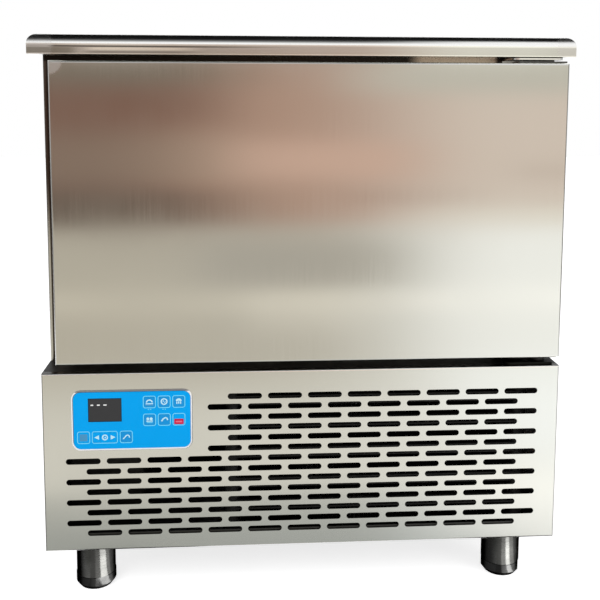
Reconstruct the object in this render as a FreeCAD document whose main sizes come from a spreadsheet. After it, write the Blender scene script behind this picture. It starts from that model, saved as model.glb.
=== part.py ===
import FreeCAD, Part
import math
import os

import Sketcher

Vector = FreeCAD.Vector

# Driving dimensions of the blast freezer, in millimetres (angles in degrees, the rest are counts).
sizes = {
    # Worktop: folded sheet with a bullnose edge and a hem turned in underneath.
    "worktop_width": 805,
    "worktop_depth": 700,
    "worktop_height": 29,
    "worktop_nose": 14,
    "worktop_hem": 14,
    "worktop_seat": 5,
    # Casing.
    "body_width": 790,
    "casing_sheet": 1.2,
    "face_setback": 2,
    "back_overhang": 14,
    "leg_clear": 84,
    "panel_height": 278,
    "panel_return": 12,
    "panel_bend": 2.5,
    "back_return": 15,
    "fascia_width": 30,
    "fascia_return": 15,
    "fascia_bend": 4,
    "base_sheet": 2,
    "base_wall": 25,
    # Insulated chamber.
    "side_foam": 60,
    "floor_foam": 60,
    "roof_foam": 60,
    "back_foam": 60,
    "liner_sheet": 1,
    "liner_corner": 16,
    "liner_back_corner": 10,
    "breaker_sheet": 3,
    "breaker_lip": 4.5,
    # Door.
    "door_height": 451,
    "door_thickness": 52,
    "door_reveal": 21.5,
    "door_margin": 0.5,
    "gap_under_door": 13,
    "gap_over_door": 9,
    "door_sheet": 1,
    "door_bend": 3,
    "door_liner_sheet": 2,
    "plug_height": 9,
    "plug_margin": 24,
    "plug_corner": 12,
    "grip_lip": 13,
    "grip_width": 22,
    "grip_depth": 17,
    # Door seal.
    "seal_gap": 14,
    "seal_offset": 7,
    "seal_width": 21,
    "seal_base": 4,
    "seal_lip": 4,
    "seal_round": 3,
    # Hinge at the right edge of the door.
    "hinge_inset": 26,
    "hinge_plate": 4,
    "hinge_reach": 58,
    "hinge_nose": 20,
    "hinge_flange_width": 34,
    "hinge_flange_height": 22,
    "hinge_pin_radius": 5,
    "hinge_pin_grip": 17,
    "bush_wall": 3,
    "bush_flange_radius": 11,
    "bush_sleeve": 20,
    "door_plate_sheet": 3,
    "door_plate_length": 74,
    "door_plate_width": 30,
    # Slots of the machine panel.
    "slot_length": 52,
    "slot_width": 9,
    "slot_pitch": 61,
    "slot_row_pitch": 16.25,
    "slot_first_x": 59.5,
    "slot_first_drop": 39,
    "slots_full_row": 12,
    "slots_short_row": 8,
    "slot_rows_short": 6,
    "slot_rows_full": 8,
    # Control panel.
    "control_left": 43.4,
    "control_drop": 25.5,
    "control_width": 181,
    "control_height": 94,
    "control_corner": 14,
    "bezel_rim": 3,
    "bezel_height": 2,
    "overlay_sheet": 1.4,
    "cutout_margin": 5,
    "key_size": 16.6,
    "key_corner": 2.5,
    "key_proud": 0.3,
    "key_flange": 1.2,
    "key_flange_sheet": 0.7,
    "key_stem": 5,
    "key_stem_length": 1.6,
    "key_travel": 0.4,
    "key_pitch_x": 22,
    "key_pitch_z": 27.7,
    "key_block_left": 108.2,
    "key_block_drop": 11.2,
    "key_row_drop": 64.8,
    "power_key_left": 9.4,
    "arrow_key_width": 11.5,
    "arrow_frame_left": 31.4,
    "arrow_frame_width": 35.8,
    "menu_key_left": 73,
    "display_left": 25,
    "display_drop": 12.5,
    "display_width": 50,
    "display_height": 36.6,
    "display_back": 1.2,
    "board_sheet": 1.6,
    "board_back": 5.2,
    "board_margin": 7,
    "housing_depth": 30,
    "housing_wall": 2,
    "housing_margin": 2,
    "housing_post": 3.5,
    # Legs and levelling feet.
    "leg_inset_side": 65.5,
    "leg_inset_front": 62,
    "leg_inset_back": 62,
    "leg_radius": 30.5,
    "leg_wall": 2,
    "leg_flange_radius": 40,
    "leg_flange_sheet": 3,
    "leg_nut_height": 14,
    "foot_radius": 31.2,
    "foot_base_radius": 26,
    "foot_taper": 7,
    "foot_height": 20,
    "foot_stem_radius": 12,
    "foot_stem_length": 44,
    "foot_flat": 29.5,
    "foot_turn_left": 26,
    "foot_turn_right": 70,
    # Tray racks.
    "rack_levels": 5,
    "rack_pitch": 66,
    "rack_first": 20,
    "rack_guide_half": 303,
    "rack_runner_width": 51,
    "rack_runner_height": 20,
    "rack_sheet": 1.5,
    "rack_front_gap": 34,
    "rack_back_gap": 24,
    "rack_post_width": 25,
    "rack_post_depth": 12,
    "rack_post_inset": 40,
    "rack_peg_radius": 6,
    # Evaporator and its fan.
    "baffle_standoff": 138,
    "baffle_half_width": 310,
    "baffle_flange": 20,
    "baffle_sheet": 1.5,
    "cold_fan_radius": 104,
    "fan_ring_gap": 6,
    "coil_depth": 50,
    "coil_back_gap": 1,
    "coil_half_width": 262,
    "coil_end_sheet": 2,
    "coil_tube_radius": 6,
    "coil_rows": 6,
    "coil_row_pitch": 52,
    "coil_bend_lead": 0.5,
    "coil_column_pitch": 26,
    "coil_fin_pitch": 16,
    "coil_fin_sheet": 0.8,
    "coil_end_lift": 0.3,
    "guard_wire": 3,
    "guard_bar": 2.4,
    "guard_ring_pitch": 23,
    "guard_rings": 5,
    "guard_spokes": 6,
    "guard_standoff": 9,
    # Axial fans and their motors.
    "fan_hub_radius": 34,
    "fan_hub_height": 18,
    "fan_width": 24,
    "fan_blades": 5,
    "fan_blade_sheet": 2,
    "fan_root_chord": 36.8,
    "fan_root_bury": 6.8,
    "fan_tip_chord": 84,
    "fan_root_pitch": 34,
    "fan_tip_pitch": 16,
    "fan_camber": 40,
    "shaft_radius": 4,
    "shaft_length": 26,
    "motor_radius": 38,
    "hot_motor_length": 50,
    "cold_motor_length": 38,
    "motor_arm_width": 14,
    "motor_arm_sheet": 2.5,
    "motor_arm_gap": 9,
    "motor_arm_margin": 10,
    "cold_motor_standoff": 36,
    "cold_fan_setback": 12,
    # Condenser with its shroud and fan.
    "condenser_inset_left": 283,
    "condenser_inset_right": 53,
    "condenser_setback": 30,
    "condenser_depth": 20,
    "condenser_header_radius": 11,
    "condenser_tube_sheet": 2.5,
    "condenser_tube_pitch": 12,
    "condenser_tubes": 20,
    "condenser_first": 22,
    "condenser_height": 258,
    "condenser_stub_radius": 7,
    "condenser_stub_length": 20,
    "shroud_gap": 3,
    "shroud_depth": 42,
    "shroud_sheet": 1.5,
    "shroud_margin": 6,
    "shroud_ring_sheet": 2,
    "shroud_ring_depth": 25,
    "hot_fan_radius": 100,
    # Compressor, receiver, pipes and electrics.
    "compressor_inset": 225,
    "compressor_y": 95,
    "compressor_radius": 90,
    "compressor_height": 165,
    "compressor_dome": 52,
    "compressor_seam": 6,
    "compressor_foot_half": 105,
    "compressor_foot_sheet": 4,
    "compressor_foot_width": 36,
    "compressor_shell": 4,
    "compressor_stub_reach": 50,
    "mount_radius": 14,
    "mount_waist": 10.5,
    "mount_height": 14,
    "mount_span_x": 170,
    "mount_span_y": 150,
    "receiver_y": 60,
    "receiver_radius": 44,
    "receiver_height": 170,
    "receiver_dome": 20,
    "receiver_shell": 4,
    "pipe_radius": 5,
    "suction_radius": 8,
    "pipe_wall": 1,
    "pipe_bend": 24,
    "pipe_lead": 6,
    "pipe_level": 30,
    "pipe_passage_gap": 1,
    "pipe_side_gap": 30,
    "electric_left": 12,
    "electric_width": 120,
    "electric_front": 140,
    "electric_depth": 180,
    "electric_height": 140,
    "electric_wall": 2,
    "electric_lid": 2,
    # Rear ventilation panel and cable gland.
    "vent_length": 150,
    "vent_width": 8,
    "vent_pitch_x": 190,
    "vent_pitch_z": 20,
    "vent_columns": 3,
    "vent_rows": 8,
    "vent_first_drop": 50,
    "gland_inset": 65,
    "gland_rise": 40,
    "gland_radius": 11,
    "gland_bore": 5.5,
    "gland_length": 12,
    "gland_nut": 6,
    # Casing screws.
    "screw_radius": 4,
    "screw_head": 1.8,
    "screw_edge": 18,
    # Clearances.
    "fit_gap": 0.3,
    "shaft_gap": 0.05,
}

doc = FreeCAD.newDocument("blast_freezer")
sheet = doc.addObject("Spreadsheet::Sheet", "dims")
for row, (alias, value) in enumerate(sizes.items(), 1):
    sheet.set(f"A{row}", alias)
    sheet.set(f"B{row}", str(value))
    sheet.setAlias(f"B{row}", alias)
doc.recompute()


class Size:
    """A size that follows the sheet: its expression text together with its present value."""

    def __init__(self, text, value):
        self.text = text
        self.value = value

    def __add__(self, other):
        return Size(f"({self.text} + {text_of(other)})", self.value + value_of(other))

    def __radd__(self, other):
        return self + other

    def __sub__(self, other):
        return Size(f"({self.text} - {text_of(other)})", self.value - value_of(other))

    def __rsub__(self, other):
        return Size(f"({text_of(other)} - {self.text})", value_of(other) - self.value)

    def __mul__(self, other):
        return Size(f"({self.text} * {text_of(other)})", self.value * value_of(other))

    def __rmul__(self, other):
        return self * other

    def __truediv__(self, other):
        return Size(f"({self.text} / {text_of(other)})", self.value / value_of(other))

    def __neg__(self):
        return Size(f"(0 - {self.text})", -self.value)


class Dims:
    """Reads a cell of the sheet by its alias, as a Size."""

    def __getattr__(self, alias):
        return Size(f"dims.{alias}", float(sheet.get(alias)))


def text_of(size):
    return size.text if isinstance(size, Size) else repr(size)


def value_of(size):
    return size.value if isinstance(size, Size) else size


d = Dims()

# Main planes and levels: X to the viewer's right, Y to the back, Z up from the floor.
half_body = d.body_width / 2
face_y = d.face_setback - d.worktop_depth / 2
door_back_y = face_y + d.door_thickness
body_front_y = door_back_y + d.seal_gap
body_back_y = d.worktop_depth / 2 - d.back_overhang
panel_top_z = d.leg_clear + d.panel_height
door_bottom_z = panel_top_z + d.gap_under_door
door_top_z = door_bottom_z + d.door_height
body_top_z = door_top_z + d.gap_over_door
top_core_half = d.worktop_width / 2 - d.worktop_hem
top_core_front_y = body_front_y + d.worktop_seat
top_core_back_y = d.worktop_depth / 2 - d.worktop_hem
door_left_x = d.door_reveal - half_body
door_right_x = half_body - d.door_margin
hinge_x = door_right_x - d.hinge_inset
hinge_y = face_y + d.door_thickness / 2
bush_radius = d.hinge_pin_radius + d.shaft_gap + d.bush_wall
control_x = d.control_left + d.control_width / 2 - half_body
control_z = panel_top_z - d.control_drop - d.control_height / 2

# Chamber: outer faces of the liner, then the clear space inside it.
liner_half = half_body - d.side_foam
liner_floor_z = panel_top_z + d.floor_foam
liner_roof_z = body_top_z - d.roof_foam
liner_back_y = body_back_y - d.back_foam
liner_front_y = body_front_y + d.breaker_sheet
mouth_half = liner_half - d.liner_sheet
floor_z = liner_floor_z + d.liner_sheet
ceiling_z = liner_roof_z - d.liner_sheet
back_y = liner_back_y - d.liner_sheet
middle_z = (floor_z + ceiling_z) / 2
baffle_y = back_y - d.baffle_standoff

# Machine compartment.
base_z = d.leg_clear + d.casing_sheet
deck_z = base_z + d.base_sheet
condenser_y = face_y + d.condenser_setback
shroud_y = condenser_y + d.condenser_depth / 2 + d.shroud_gap
shroud_back_y = shroud_y + d.shroud_depth
condenser_left_x = d.condenser_inset_left - half_body
condenser_right_x = half_body - d.condenser_inset_right
compressor_x = d.compressor_inset - half_body
gland_x = half_body - d.gland_inset
hot_fan_x = (condenser_left_x + condenser_right_x) / 2
hot_fan_z = deck_z + d.condenser_height / 2
compressor_z = deck_z + d.mount_height
pipe_z = panel_top_z - d.pipe_level
pipe_x = d.coil_half_width + d.pipe_side_gap
coil_rear_y = back_y - d.liner_back_corner - d.coil_back_gap
suction_y = coil_rear_y - d.coil_depth / 2 + d.coil_column_pitch / 2
feed_y = suction_y - d.coil_column_pitch
coil_port_x = d.coil_half_width + d.coil_end_sheet + d.fit_gap
coil_low_z = middle_z - d.coil_row_pitch * (d.coil_rows - 1) / 2
condenser_port_y = condenser_y + d.condenser_header_radius + d.condenser_stub_length
stub_top_z = pipe_z - d.pipe_bend - d.pipe_lead
liquid_z = deck_z + d.condenser_first * 2
receiver_port_y = d.receiver_y - d.receiver_radius - d.condenser_stub_length

# Legs.
leg_x = half_body - d.leg_inset_side
leg_front_y = face_y + d.leg_inset_front
leg_back_y = body_back_y - d.leg_inset_back

nodes = []


def keep(item):
    """Adds a finished piece to the list that is written out."""
    nodes.append(item)
    return item


def bind(item, name, size):
    item.setExpression(name, text_of(size))


def place(item, x=0, y=0, z=0):
    for axis, size in zip("xyz", (x, y, z)):
        bind(item, f"Placement.Base.{axis}", size)


def turn(item, axis, angle):
    item.Placement = FreeCAD.Placement(Vector(), FreeCAD.Rotation(axis, angle))


def new_body(label, several=False):
    body = doc.addObject("PartDesign::Body", label)
    body.Label = label
    body.AllowCompound = several
    return keep(body)


def origin_part(body, role):
    return next(part for part in body.Origin.OriginFeatures if part.Role == role)


def sketch_on(body, role, offset):
    sketch = body.newObject("Sketcher::SketchObject", "Outline")
    sketch.AttachmentSupport = [(origin_part(body, role), "")]
    sketch.MapMode = "FlatFace"
    bind(sketch, "AttachmentOffset.Base.z", offset)
    return sketch


def plan(body, z=0):
    """A sketch seen from above: its axes are X and Y, and a pad goes up."""
    return sketch_on(body, "XY_Plane", z)


def elevation(body, y=0):
    """A sketch seen from the front: its axes are X and Z, and a pad comes forward."""
    return sketch_on(body, "XZ_Plane", 0 - y)


def side_view(body, x=0):
    """A sketch seen from the right: its axes are Y and Z, and a pad goes to the right."""
    return sketch_on(body, "YZ_Plane", x)


def fix(sketch, kind, *place_and_size):
    *spot, size = place_and_size
    index = sketch.addConstraint(Sketcher.Constraint(kind, *spot, value_of(size)))
    bind(sketch, f"Constraints[{index}]", size)


def pin(sketch, line, end, spot):
    """Holds a point of the sketch at its two distances from the sketch's origin."""
    fix(sketch, "DistanceX", -1, 1, line, end, spot[0])
    fix(sketch, "DistanceY", -1, 1, line, end, spot[1])


def join(sketch, kind, *spots):
    sketch.addConstraint(Sketcher.Constraint(kind, *spots))


def flat(spot):
    return Vector(value_of(spot[0]), value_of(spot[1]), 0)


def polygon(sketch, spots):
    first = sketch.GeometryCount
    count = len(spots)
    for index, spot in enumerate(spots):
        line = Part.LineSegment(flat(spot), flat(spots[(index + 1) % count]))
        sketch.addGeometry(line, False)
    for index, spot in enumerate(spots):
        join(sketch, "Coincident", first + index, 2, first + (index + 1) % count, 1)
        pin(sketch, first + index, 1, spot)


def rectangle(sketch, left, right, low, high):
    polygon(sketch, [(left, low), (right, low), (right, high), (left, high)])


def circle(sketch, x, y, radius):
    centre = flat((x, y))
    index = sketch.addGeometry(Part.Circle(centre, Vector(0, 0, 1), value_of(radius)), False)
    pin(sketch, index, 3, (x, y))
    fix(sketch, "Radius", index, radius)


def arc(sketch, centre, radius, start, end):
    round_line = Part.Circle(flat(centre), Vector(0, 0, 1), value_of(radius))
    index = sketch.addGeometry(Part.ArcOfCircle(round_line, math.radians(start), math.radians(end)), False)
    pin(sketch, index, 3, centre)
    fix(sketch, "Radius", index, radius)
    return index


def smooth_loop(sketch, corners, radius):
    """Joins arcs, given as (centre, start, end) in turn, by straight lines tangent to them."""
    arcs = [arc(sketch, centre, radius, start, end) for centre, start, end in corners]
    shapes = [sketch.Geometry[index] for index in arcs]
    for index, shape in enumerate(shapes):
        following = (index + 1) % len(arcs)
        line = sketch.addGeometry(Part.LineSegment(shape.EndPoint, shapes[following].StartPoint), False)
        join(sketch, "Tangent", arcs[index], 2, line, 1)
        join(sketch, "Tangent", line, 2, arcs[following], 1)


def round_rectangle(sketch, left, right, low, high, radius):
    corners = [
        ((right - radius, low + radius), -90, 0),
        ((right - radius, high - radius), 0, 90),
        ((left + radius, high - radius), 90, 180),
        ((left + radius, low + radius), 180, 270),
    ]
    smooth_loop(sketch, corners, radius)


def slot(sketch, x, y, length, width):
    reach = (length - width) / 2
    smooth_loop(sketch, [((x + reach, y), -90, 90), ((x - reach, y), 90, 270)], width / 2)


def feature(body, kind, name):
    """Adds a feature to the body after what is there has been worked out."""
    doc.recompute()
    return body.newObject(f"PartDesign::{kind}", name)


def pad(body, sketch, length, back=False):
    item = feature(body, "Pad", "Pad")
    item.Profile = sketch
    item.Reversed = back
    bind(item, "Length", length)
    body.Tip = item
    doc.recompute()
    return item


def pocket(body, sketch, depth, along=False):
    """Cuts against the sketch's own direction, or along it."""
    before = body.Tip.Shape.Volume
    item = feature(body, "Pocket", "Pocket")
    item.Profile = sketch
    item.Refine = False
    item.Reversed = along
    bind(item, "Length", depth)
    body.Tip = item
    doc.recompute()
    if item.Shape.Volume >= before:
        raise ValueError(f"a pocket of {body.Label} cuts nothing")
    return item


def revolve(body, sketch):
    item = feature(body, "Revolution", "Turned")
    item.Profile = sketch
    item.ReferenceAxis = (sketch, ["V_Axis"])
    item.Angle = 360
    body.Tip = item
    doc.recompute()
    return item


def lies_at(piece, **spots):
    """True where a whole edge or face lies at the given x, y or z."""
    box = piece.BoundBox
    for axis, size in spots.items():
        low = getattr(box, f"{axis.upper()}Min")
        high = getattr(box, f"{axis.upper()}Max")
        if max(abs(low - value_of(size)), abs(high - value_of(size))) > 1e-4:
            return False
    return True


def picked(pieces, kind, test):
    return [f"{kind}{index}" for index, piece in enumerate(pieces, 1) if test(piece)]


def fillet(body, radius, test):
    base = body.Tip
    item = feature(body, "Fillet", "Fillet")
    item.Base = (base, picked(base.Shape.Edges, "Edge", test))
    bind(item, "Radius", radius)
    body.Tip = item
    doc.recompute()
    return item


def shell(body, wall, test):
    """Hollows the body inward to a wall, open at the picked faces."""
    base = body.Tip
    item = feature(body, "Thickness", "Shell")
    item.Base = (base, picked(base.Shape.Faces, "Face", test))
    item.Reversed = True
    bind(item, "Value", wall)
    body.Tip = item
    doc.recompute()
    return item


def repeat(body, originals, *runs):
    """Repeats features along one or two axes, each run an axis, a spacing and a count."""
    item = feature(body, "LinearPattern", "Pattern")
    item.Originals = originals
    item.Refine = False
    for mark, (axis, spacing, count) in zip(("", "2"), runs):
        setattr(item, f"Direction{mark}", (origin_part(body, f"{axis}_Axis"), [""]))
        bind(item, f"Length{mark}", spacing * (count - 1))
        bind(item, f"Occurrences{mark}", count)
    body.Tip = item
    doc.recompute()
    return item


def repeat_round(body, originals, axis, count):
    item = feature(body, "PolarPattern", "Pattern")
    item.Originals = originals
    item.Axis = (origin_part(body, f"{axis}_Axis"), [""])
    item.Angle = 360
    bind(item, "Occurrences", count)
    body.Tip = item
    doc.recompute()
    return item


def solid(label, shape):
    """A piece whose form is worked out from the sheet's values, such as a bent pipe."""
    item = doc.addObject("Part::Feature", label)
    item.Label = label
    item.Shape = shape
    return keep(item)


def make_worktop():
    """Folded top, bullnosed all round, whose hem runs back under the overhang to its seat on the fascia."""
    body = new_body("worktop")
    place(body, z=body_top_z)
    half_width = d.worktop_width / 2
    half_depth = d.worktop_depth / 2
    outline = plan(body)
    rectangle(outline, -half_width, half_width, -half_depth, half_depth)
    pad(body, outline, d.worktop_height)
    fillet(body, d.worktop_nose, lambda edge: lies_at(edge, z=d.worktop_height))
    shell(body, d.casing_sheet, lambda face: lies_at(face, z=0))
    hem = plan(body)
    rectangle(hem, -half_width, half_width, -half_depth, half_depth)
    rectangle(hem, -top_core_half, top_core_half, top_core_front_y, top_core_back_y)
    pad(body, hem, d.casing_sheet)


def make_side_panel(label, side):
    """A flat sheet, set back above the sill for the fascia, with a return at the back edge."""
    body = new_body(label)
    outer_x = half_body * side
    back = body_back_y - d.casing_sheet
    step = body_front_y + d.fascia_return
    outline = side_view(body, outer_x)
    polygon(outline, [
        (body_front_y, d.leg_clear),
        (back, d.leg_clear),
        (back, body_top_z),
        (step, body_top_z),
        (step, panel_top_z),
        (body_front_y, panel_top_z),
    ])
    pad(body, outline, d.casing_sheet, back=side > 0)
    edge = plan(body, d.leg_clear)
    inner_x = outer_x - d.back_return * side
    left, right = (inner_x, outer_x) if side > 0 else (outer_x, inner_x)
    rectangle(edge, left, right, back - d.casing_sheet, back)
    pad(body, edge, body_top_z - d.leg_clear)


def make_rear_panel():
    body = new_body("rear_panel")
    outline = elevation(body, body_back_y)
    rectangle(outline, -half_body, half_body, panel_top_z, body_top_z)
    pad(body, outline, d.casing_sheet)


def make_rear_grille():
    body = new_body("rear_grille")
    outline = elevation(body, body_back_y)
    rectangle(outline, -half_body, half_body, d.leg_clear, panel_top_z - d.fit_gap)
    circle(outline, gland_x, base_z + d.base_wall + d.gland_rise, d.gland_radius + d.fit_gap)
    pad(body, outline, d.casing_sheet)
    vent = elevation(body, body_back_y)
    first_x = -d.vent_pitch_x * (d.vent_columns - 1) / 2
    first_z = panel_top_z - d.vent_first_drop - d.vent_pitch_z * (d.vent_rows - 1)
    slot(vent, first_x, first_z, d.vent_length, d.vent_width)
    cut = pocket(body, vent, d.casing_sheet, along=True)
    repeat(body, [cut], ("X", d.vent_pitch_x, d.vent_columns), ("Z", d.vent_pitch_z, d.vent_rows))


def make_cable_gland():
    """Round gland: a flange outside, a body through the sheet and a nut inside."""
    body = new_body("cable_gland")
    turn(body, Vector(1, 0, 0), -90)
    place(body, gland_x, body_back_y, base_z + d.base_wall + d.gland_rise)
    profile = elevation(body)
    neck = d.gland_radius
    collar = d.gland_radius + d.gland_nut / 2
    polygon(profile, [
        (d.gland_bore, -d.casing_sheet - d.gland_nut),
        (collar, -d.casing_sheet - d.gland_nut),
        (collar, -d.casing_sheet),
        (neck, -d.casing_sheet),
        (neck, 0),
        (collar, 0),
        (collar, d.gland_nut),
        (neck - d.gland_nut / 3, d.gland_length),
        (d.gland_bore, d.gland_length),
    ])
    revolve(body, profile)


def make_front_fascia():
    """Steel ring round the opening with its outer edges folded back."""
    body = new_body("front_fascia")
    outline = elevation(body, body_front_y)
    rectangle(outline, -half_body, half_body, panel_top_z, body_top_z)
    inner_half = half_body - d.fascia_width
    rectangle(outline, -inner_half, inner_half, panel_top_z + d.fascia_width, body_top_z - d.fascia_width)
    pad(body, outline, d.fascia_return, back=True)
    fillet(body, d.fascia_bend, lambda edge: lies_at(edge, y=body_front_y) and (
        lies_at(edge, x=half_body) or lies_at(edge, x=-half_body)))
    rear = body_front_y + d.fascia_return
    inner = (("x", inner_half), ("x", -inner_half), ("z", panel_top_z + d.fascia_width),
             ("z", body_top_z - d.fascia_width), ("z", body_top_z), ("y", rear))
    shell(body, d.casing_sheet, lambda face: any(lies_at(face, **{axis: spot}) for axis, spot in inner))


def make_breaker_frame():
    """Four plastic bars between the fascia and the liner, butted at the corners and lipped into the mouth."""
    body = new_body("breaker_frame", several=True)
    outline = elevation(body, body_front_y)
    half = half_body - d.fascia_width - d.fit_gap
    low = panel_top_z + d.fascia_width + d.fit_gap
    high = body_top_z - d.fascia_width - d.fit_gap
    lip_half = mouth_half - d.breaker_lip
    lip_low = floor_z + d.breaker_lip
    lip_high = ceiling_z - d.breaker_lip
    rectangle(outline, -half, half, low, lip_low)
    rectangle(outline, -half, half, lip_high, high)
    rectangle(outline, -half, -lip_half, lip_low + d.fit_gap, lip_high - d.fit_gap)
    rectangle(outline, lip_half, half, lip_low + d.fit_gap, lip_high - d.fit_gap)
    pad(body, outline, d.breaker_sheet, back=True)


def pipe_holes(sketch, gap):
    circle(sketch, pipe_x, suction_y, d.suction_radius + gap)
    circle(sketch, pipe_x, feed_y, d.pipe_radius + gap)


def make_insulation():
    body = new_body("insulation")
    half = half_body - d.casing_sheet
    bottom = panel_top_z + d.casing_sheet
    block = plan(body, bottom)
    rectangle(block, -half, half, liner_front_y, body_back_y - 2 * d.casing_sheet)
    pad(body, block, body_top_z - bottom)
    fillet(body, d.fascia_bend, lambda edge: lies_at(edge, y=liner_front_y) and (
        lies_at(edge, x=half) or lies_at(edge, x=-half)))
    core = plan(body, body_top_z)
    rectangle(core, -top_core_half, top_core_half, top_core_front_y, top_core_back_y)
    pad(body, core, d.worktop_height - d.casing_sheet)
    chamber = elevation(body, liner_front_y)
    gap = d.fit_gap
    hollow_half = liner_half + gap
    low = liner_floor_z - gap
    high = liner_roof_z + gap
    round_rectangle(chamber, -hollow_half, hollow_half, low, high, d.liner_corner + gap)
    pocket(body, chamber, liner_back_y + gap - liner_front_y)
    holes = plan(body, bottom)
    pipe_holes(holes, d.pipe_passage_gap)
    pocket(body, holes, d.floor_foam, along=True)


def make_floor_skin():
    body = new_body("floor_skin")
    outline = plan(body, panel_top_z)
    half = half_body - d.casing_sheet - d.fit_gap
    front = body_front_y + d.fascia_return + d.fit_gap
    rectangle(outline, -half, half, front, body_back_y - 2 * d.casing_sheet)
    pipe_holes(outline, d.pipe_passage_gap)
    pad(body, outline, d.casing_sheet)


def make_inner_liner():
    """Deep-drawn steel tub of the chamber, open at the front."""
    body = new_body("inner_liner")
    outline = elevation(body, liner_front_y)
    round_rectangle(outline, -liner_half, liner_half, liner_floor_z, liner_roof_z, d.liner_corner)
    pad(body, outline, liner_back_y - liner_front_y, back=True)
    fillet(body, d.liner_back_corner, lambda edge: lies_at(edge, y=liner_back_y))
    shell(body, d.liner_sheet, lambda face: lies_at(face, y=liner_front_y))
    holes = plan(body, liner_floor_z)
    pipe_holes(holes, d.pipe_passage_gap)
    pocket(body, holes, d.liner_sheet, along=True)


def make_base_tray():
    body = new_body("base_tray")
    half = half_body - d.casing_sheet - d.fit_gap
    outline = plan(body, base_z)
    front = face_y + d.panel_bend + d.fit_gap
    rectangle(outline, -half, half, front, body_back_y - 2 * d.casing_sheet - d.fit_gap)
    pad(body, outline, d.base_wall)
    shell(body, d.base_sheet, lambda face: lies_at(face, z=base_z + d.base_wall))


def make_sill_strip():
    """Dark strip over the machine compartment: its tongue lies under the panel's top return."""
    body = new_body("sill_strip")
    half = half_body - d.casing_sheet - d.fit_gap
    tongue = face_y + d.panel_bend + d.fit_gap
    step = face_y + d.panel_return + d.fit_gap
    rear = body_front_y + d.fascia_return
    upper = panel_top_z - d.casing_sheet
    lower = upper - d.casing_sheet
    profile = side_view(body, -half)
    polygon(profile, [
        (tongue, lower),
        (step + d.casing_sheet, lower),
        (step + d.casing_sheet, upper),
        (rear, upper),
        (rear, panel_top_z),
        (step, panel_top_z),
        (step, upper),
        (tongue, upper),
    ])
    pad(body, profile, half * 2)


def make_machine_panel():
    """Front of the machine compartment: a folded tray with staggered rows of round-ended slots."""
    body = new_body("machine_panel")
    outline = elevation(body, face_y)
    rectangle(outline, -half_body, half_body, d.leg_clear, panel_top_z)
    pad(body, outline, body_front_y - face_y, back=True)
    fillet(body, d.panel_bend, lambda edge: lies_at(edge, y=face_y))
    shell(body, d.casing_sheet, lambda face: lies_at(face, y=body_front_y))
    inner_half = half_body - d.casing_sheet
    trim = plan(body, panel_top_z)
    rectangle(trim, -inner_half, inner_half, face_y + d.panel_return, body_front_y)
    pocket(body, trim, d.panel_height)
    left, right, low, high = control_box(d.cutout_margin)
    opening = elevation(body, face_y)
    round_rectangle(opening, left, right, low, high, d.control_corner - d.cutout_margin)
    pocket(body, opening, d.casing_sheet)
    row = d.slot_row_pitch
    first_x = d.slot_first_x - half_body
    first_z = panel_top_z - d.slot_first_drop
    skipped = d.slots_full_row - d.slots_short_row
    short_x = first_x + d.slot_pitch * skipped
    lower_z = first_z - row * d.slot_rows_short
    stagger = d.slot_pitch / 2
    groups = (
        (short_x, first_z, d.slots_short_row, d.slot_rows_short),
        (short_x - stagger, first_z - row, d.slots_short_row, d.slot_rows_short),
        (first_x, lower_z, d.slots_full_row, d.slot_rows_full),
        (first_x + stagger, lower_z - row, d.slots_full_row - 1, d.slot_rows_full),
    )
    for x, z, columns, rows in groups:
        pattern_rows = rows / 2
        hole = elevation(body, face_y)
        slot(hole, x, z - 2 * row * (pattern_rows - 1), d.slot_length, d.slot_width)
        cut = pocket(body, hole, d.casing_sheet)
        repeat(body, [cut], ("X", d.slot_pitch, columns), ("Z", 2 * row, pattern_rows))


def make_casing_screws():
    """Low round heads along the edges of the rear panels and on the sides of the machine panel."""
    heads = []
    edge_x = value_of(half_body - d.screw_edge)
    lower = value_of(d.leg_clear + d.screw_edge)
    upper = value_of(panel_top_z - d.screw_edge)
    rear_levels = (lower, upper, value_of(panel_top_z + d.screw_edge), value_of(body_top_z - d.screw_edge))
    for x in (-edge_x, 0, edge_x):
        for z in rear_levels:
            heads.append((Vector(x, value_of(body_back_y), z), Vector(0, 1, 0)))
    side_y = value_of(body_front_y - d.screw_edge)
    for side in (-1, 1):
        for z in (lower, upper):
            heads.append((Vector(side * value_of(half_body), side_y, z), Vector(side, 0, 0)))
    shapes = []
    for spot, way in heads:
        rim = d.screw_head.value / 2
        disc = Part.makeCylinder(d.screw_radius.value, rim, spot, way)
        crown = Part.makeCone(d.screw_radius.value, d.screw_radius.value / 2, rim, spot + way * rim, way)
        shapes.append(disc.fuse(crown).removeSplitter())
    solid("casing_screws", Part.makeCompound(shapes))


def make_leg_tubes():
    """Four tubes with a mounting flange on top and the nut of the foot in the lower end."""
    body = new_body("leg_tubes", several=True)
    place(body, -leg_x, leg_front_y)
    bottom = d.foot_height + d.fit_gap
    bore = d.foot_stem_radius + d.shaft_gap
    inside = d.leg_radius - d.leg_wall
    shelf = base_z - d.leg_flange_sheet
    profile = elevation(body)
    polygon(profile, [
        (bore, bottom),
        (d.leg_radius, bottom),
        (d.leg_radius, shelf),
        (d.leg_flange_radius, shelf),
        (d.leg_flange_radius, base_z),
        (0, base_z),
        (0, shelf),
        (inside, shelf),
        (inside, bottom + d.leg_nut_height),
        (bore, bottom + d.leg_nut_height),
    ])
    tube = revolve(body, profile)
    repeat(body, [tube], ("X", 2 * leg_x, 2), ("Y", leg_back_y - leg_front_y, 2))


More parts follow.
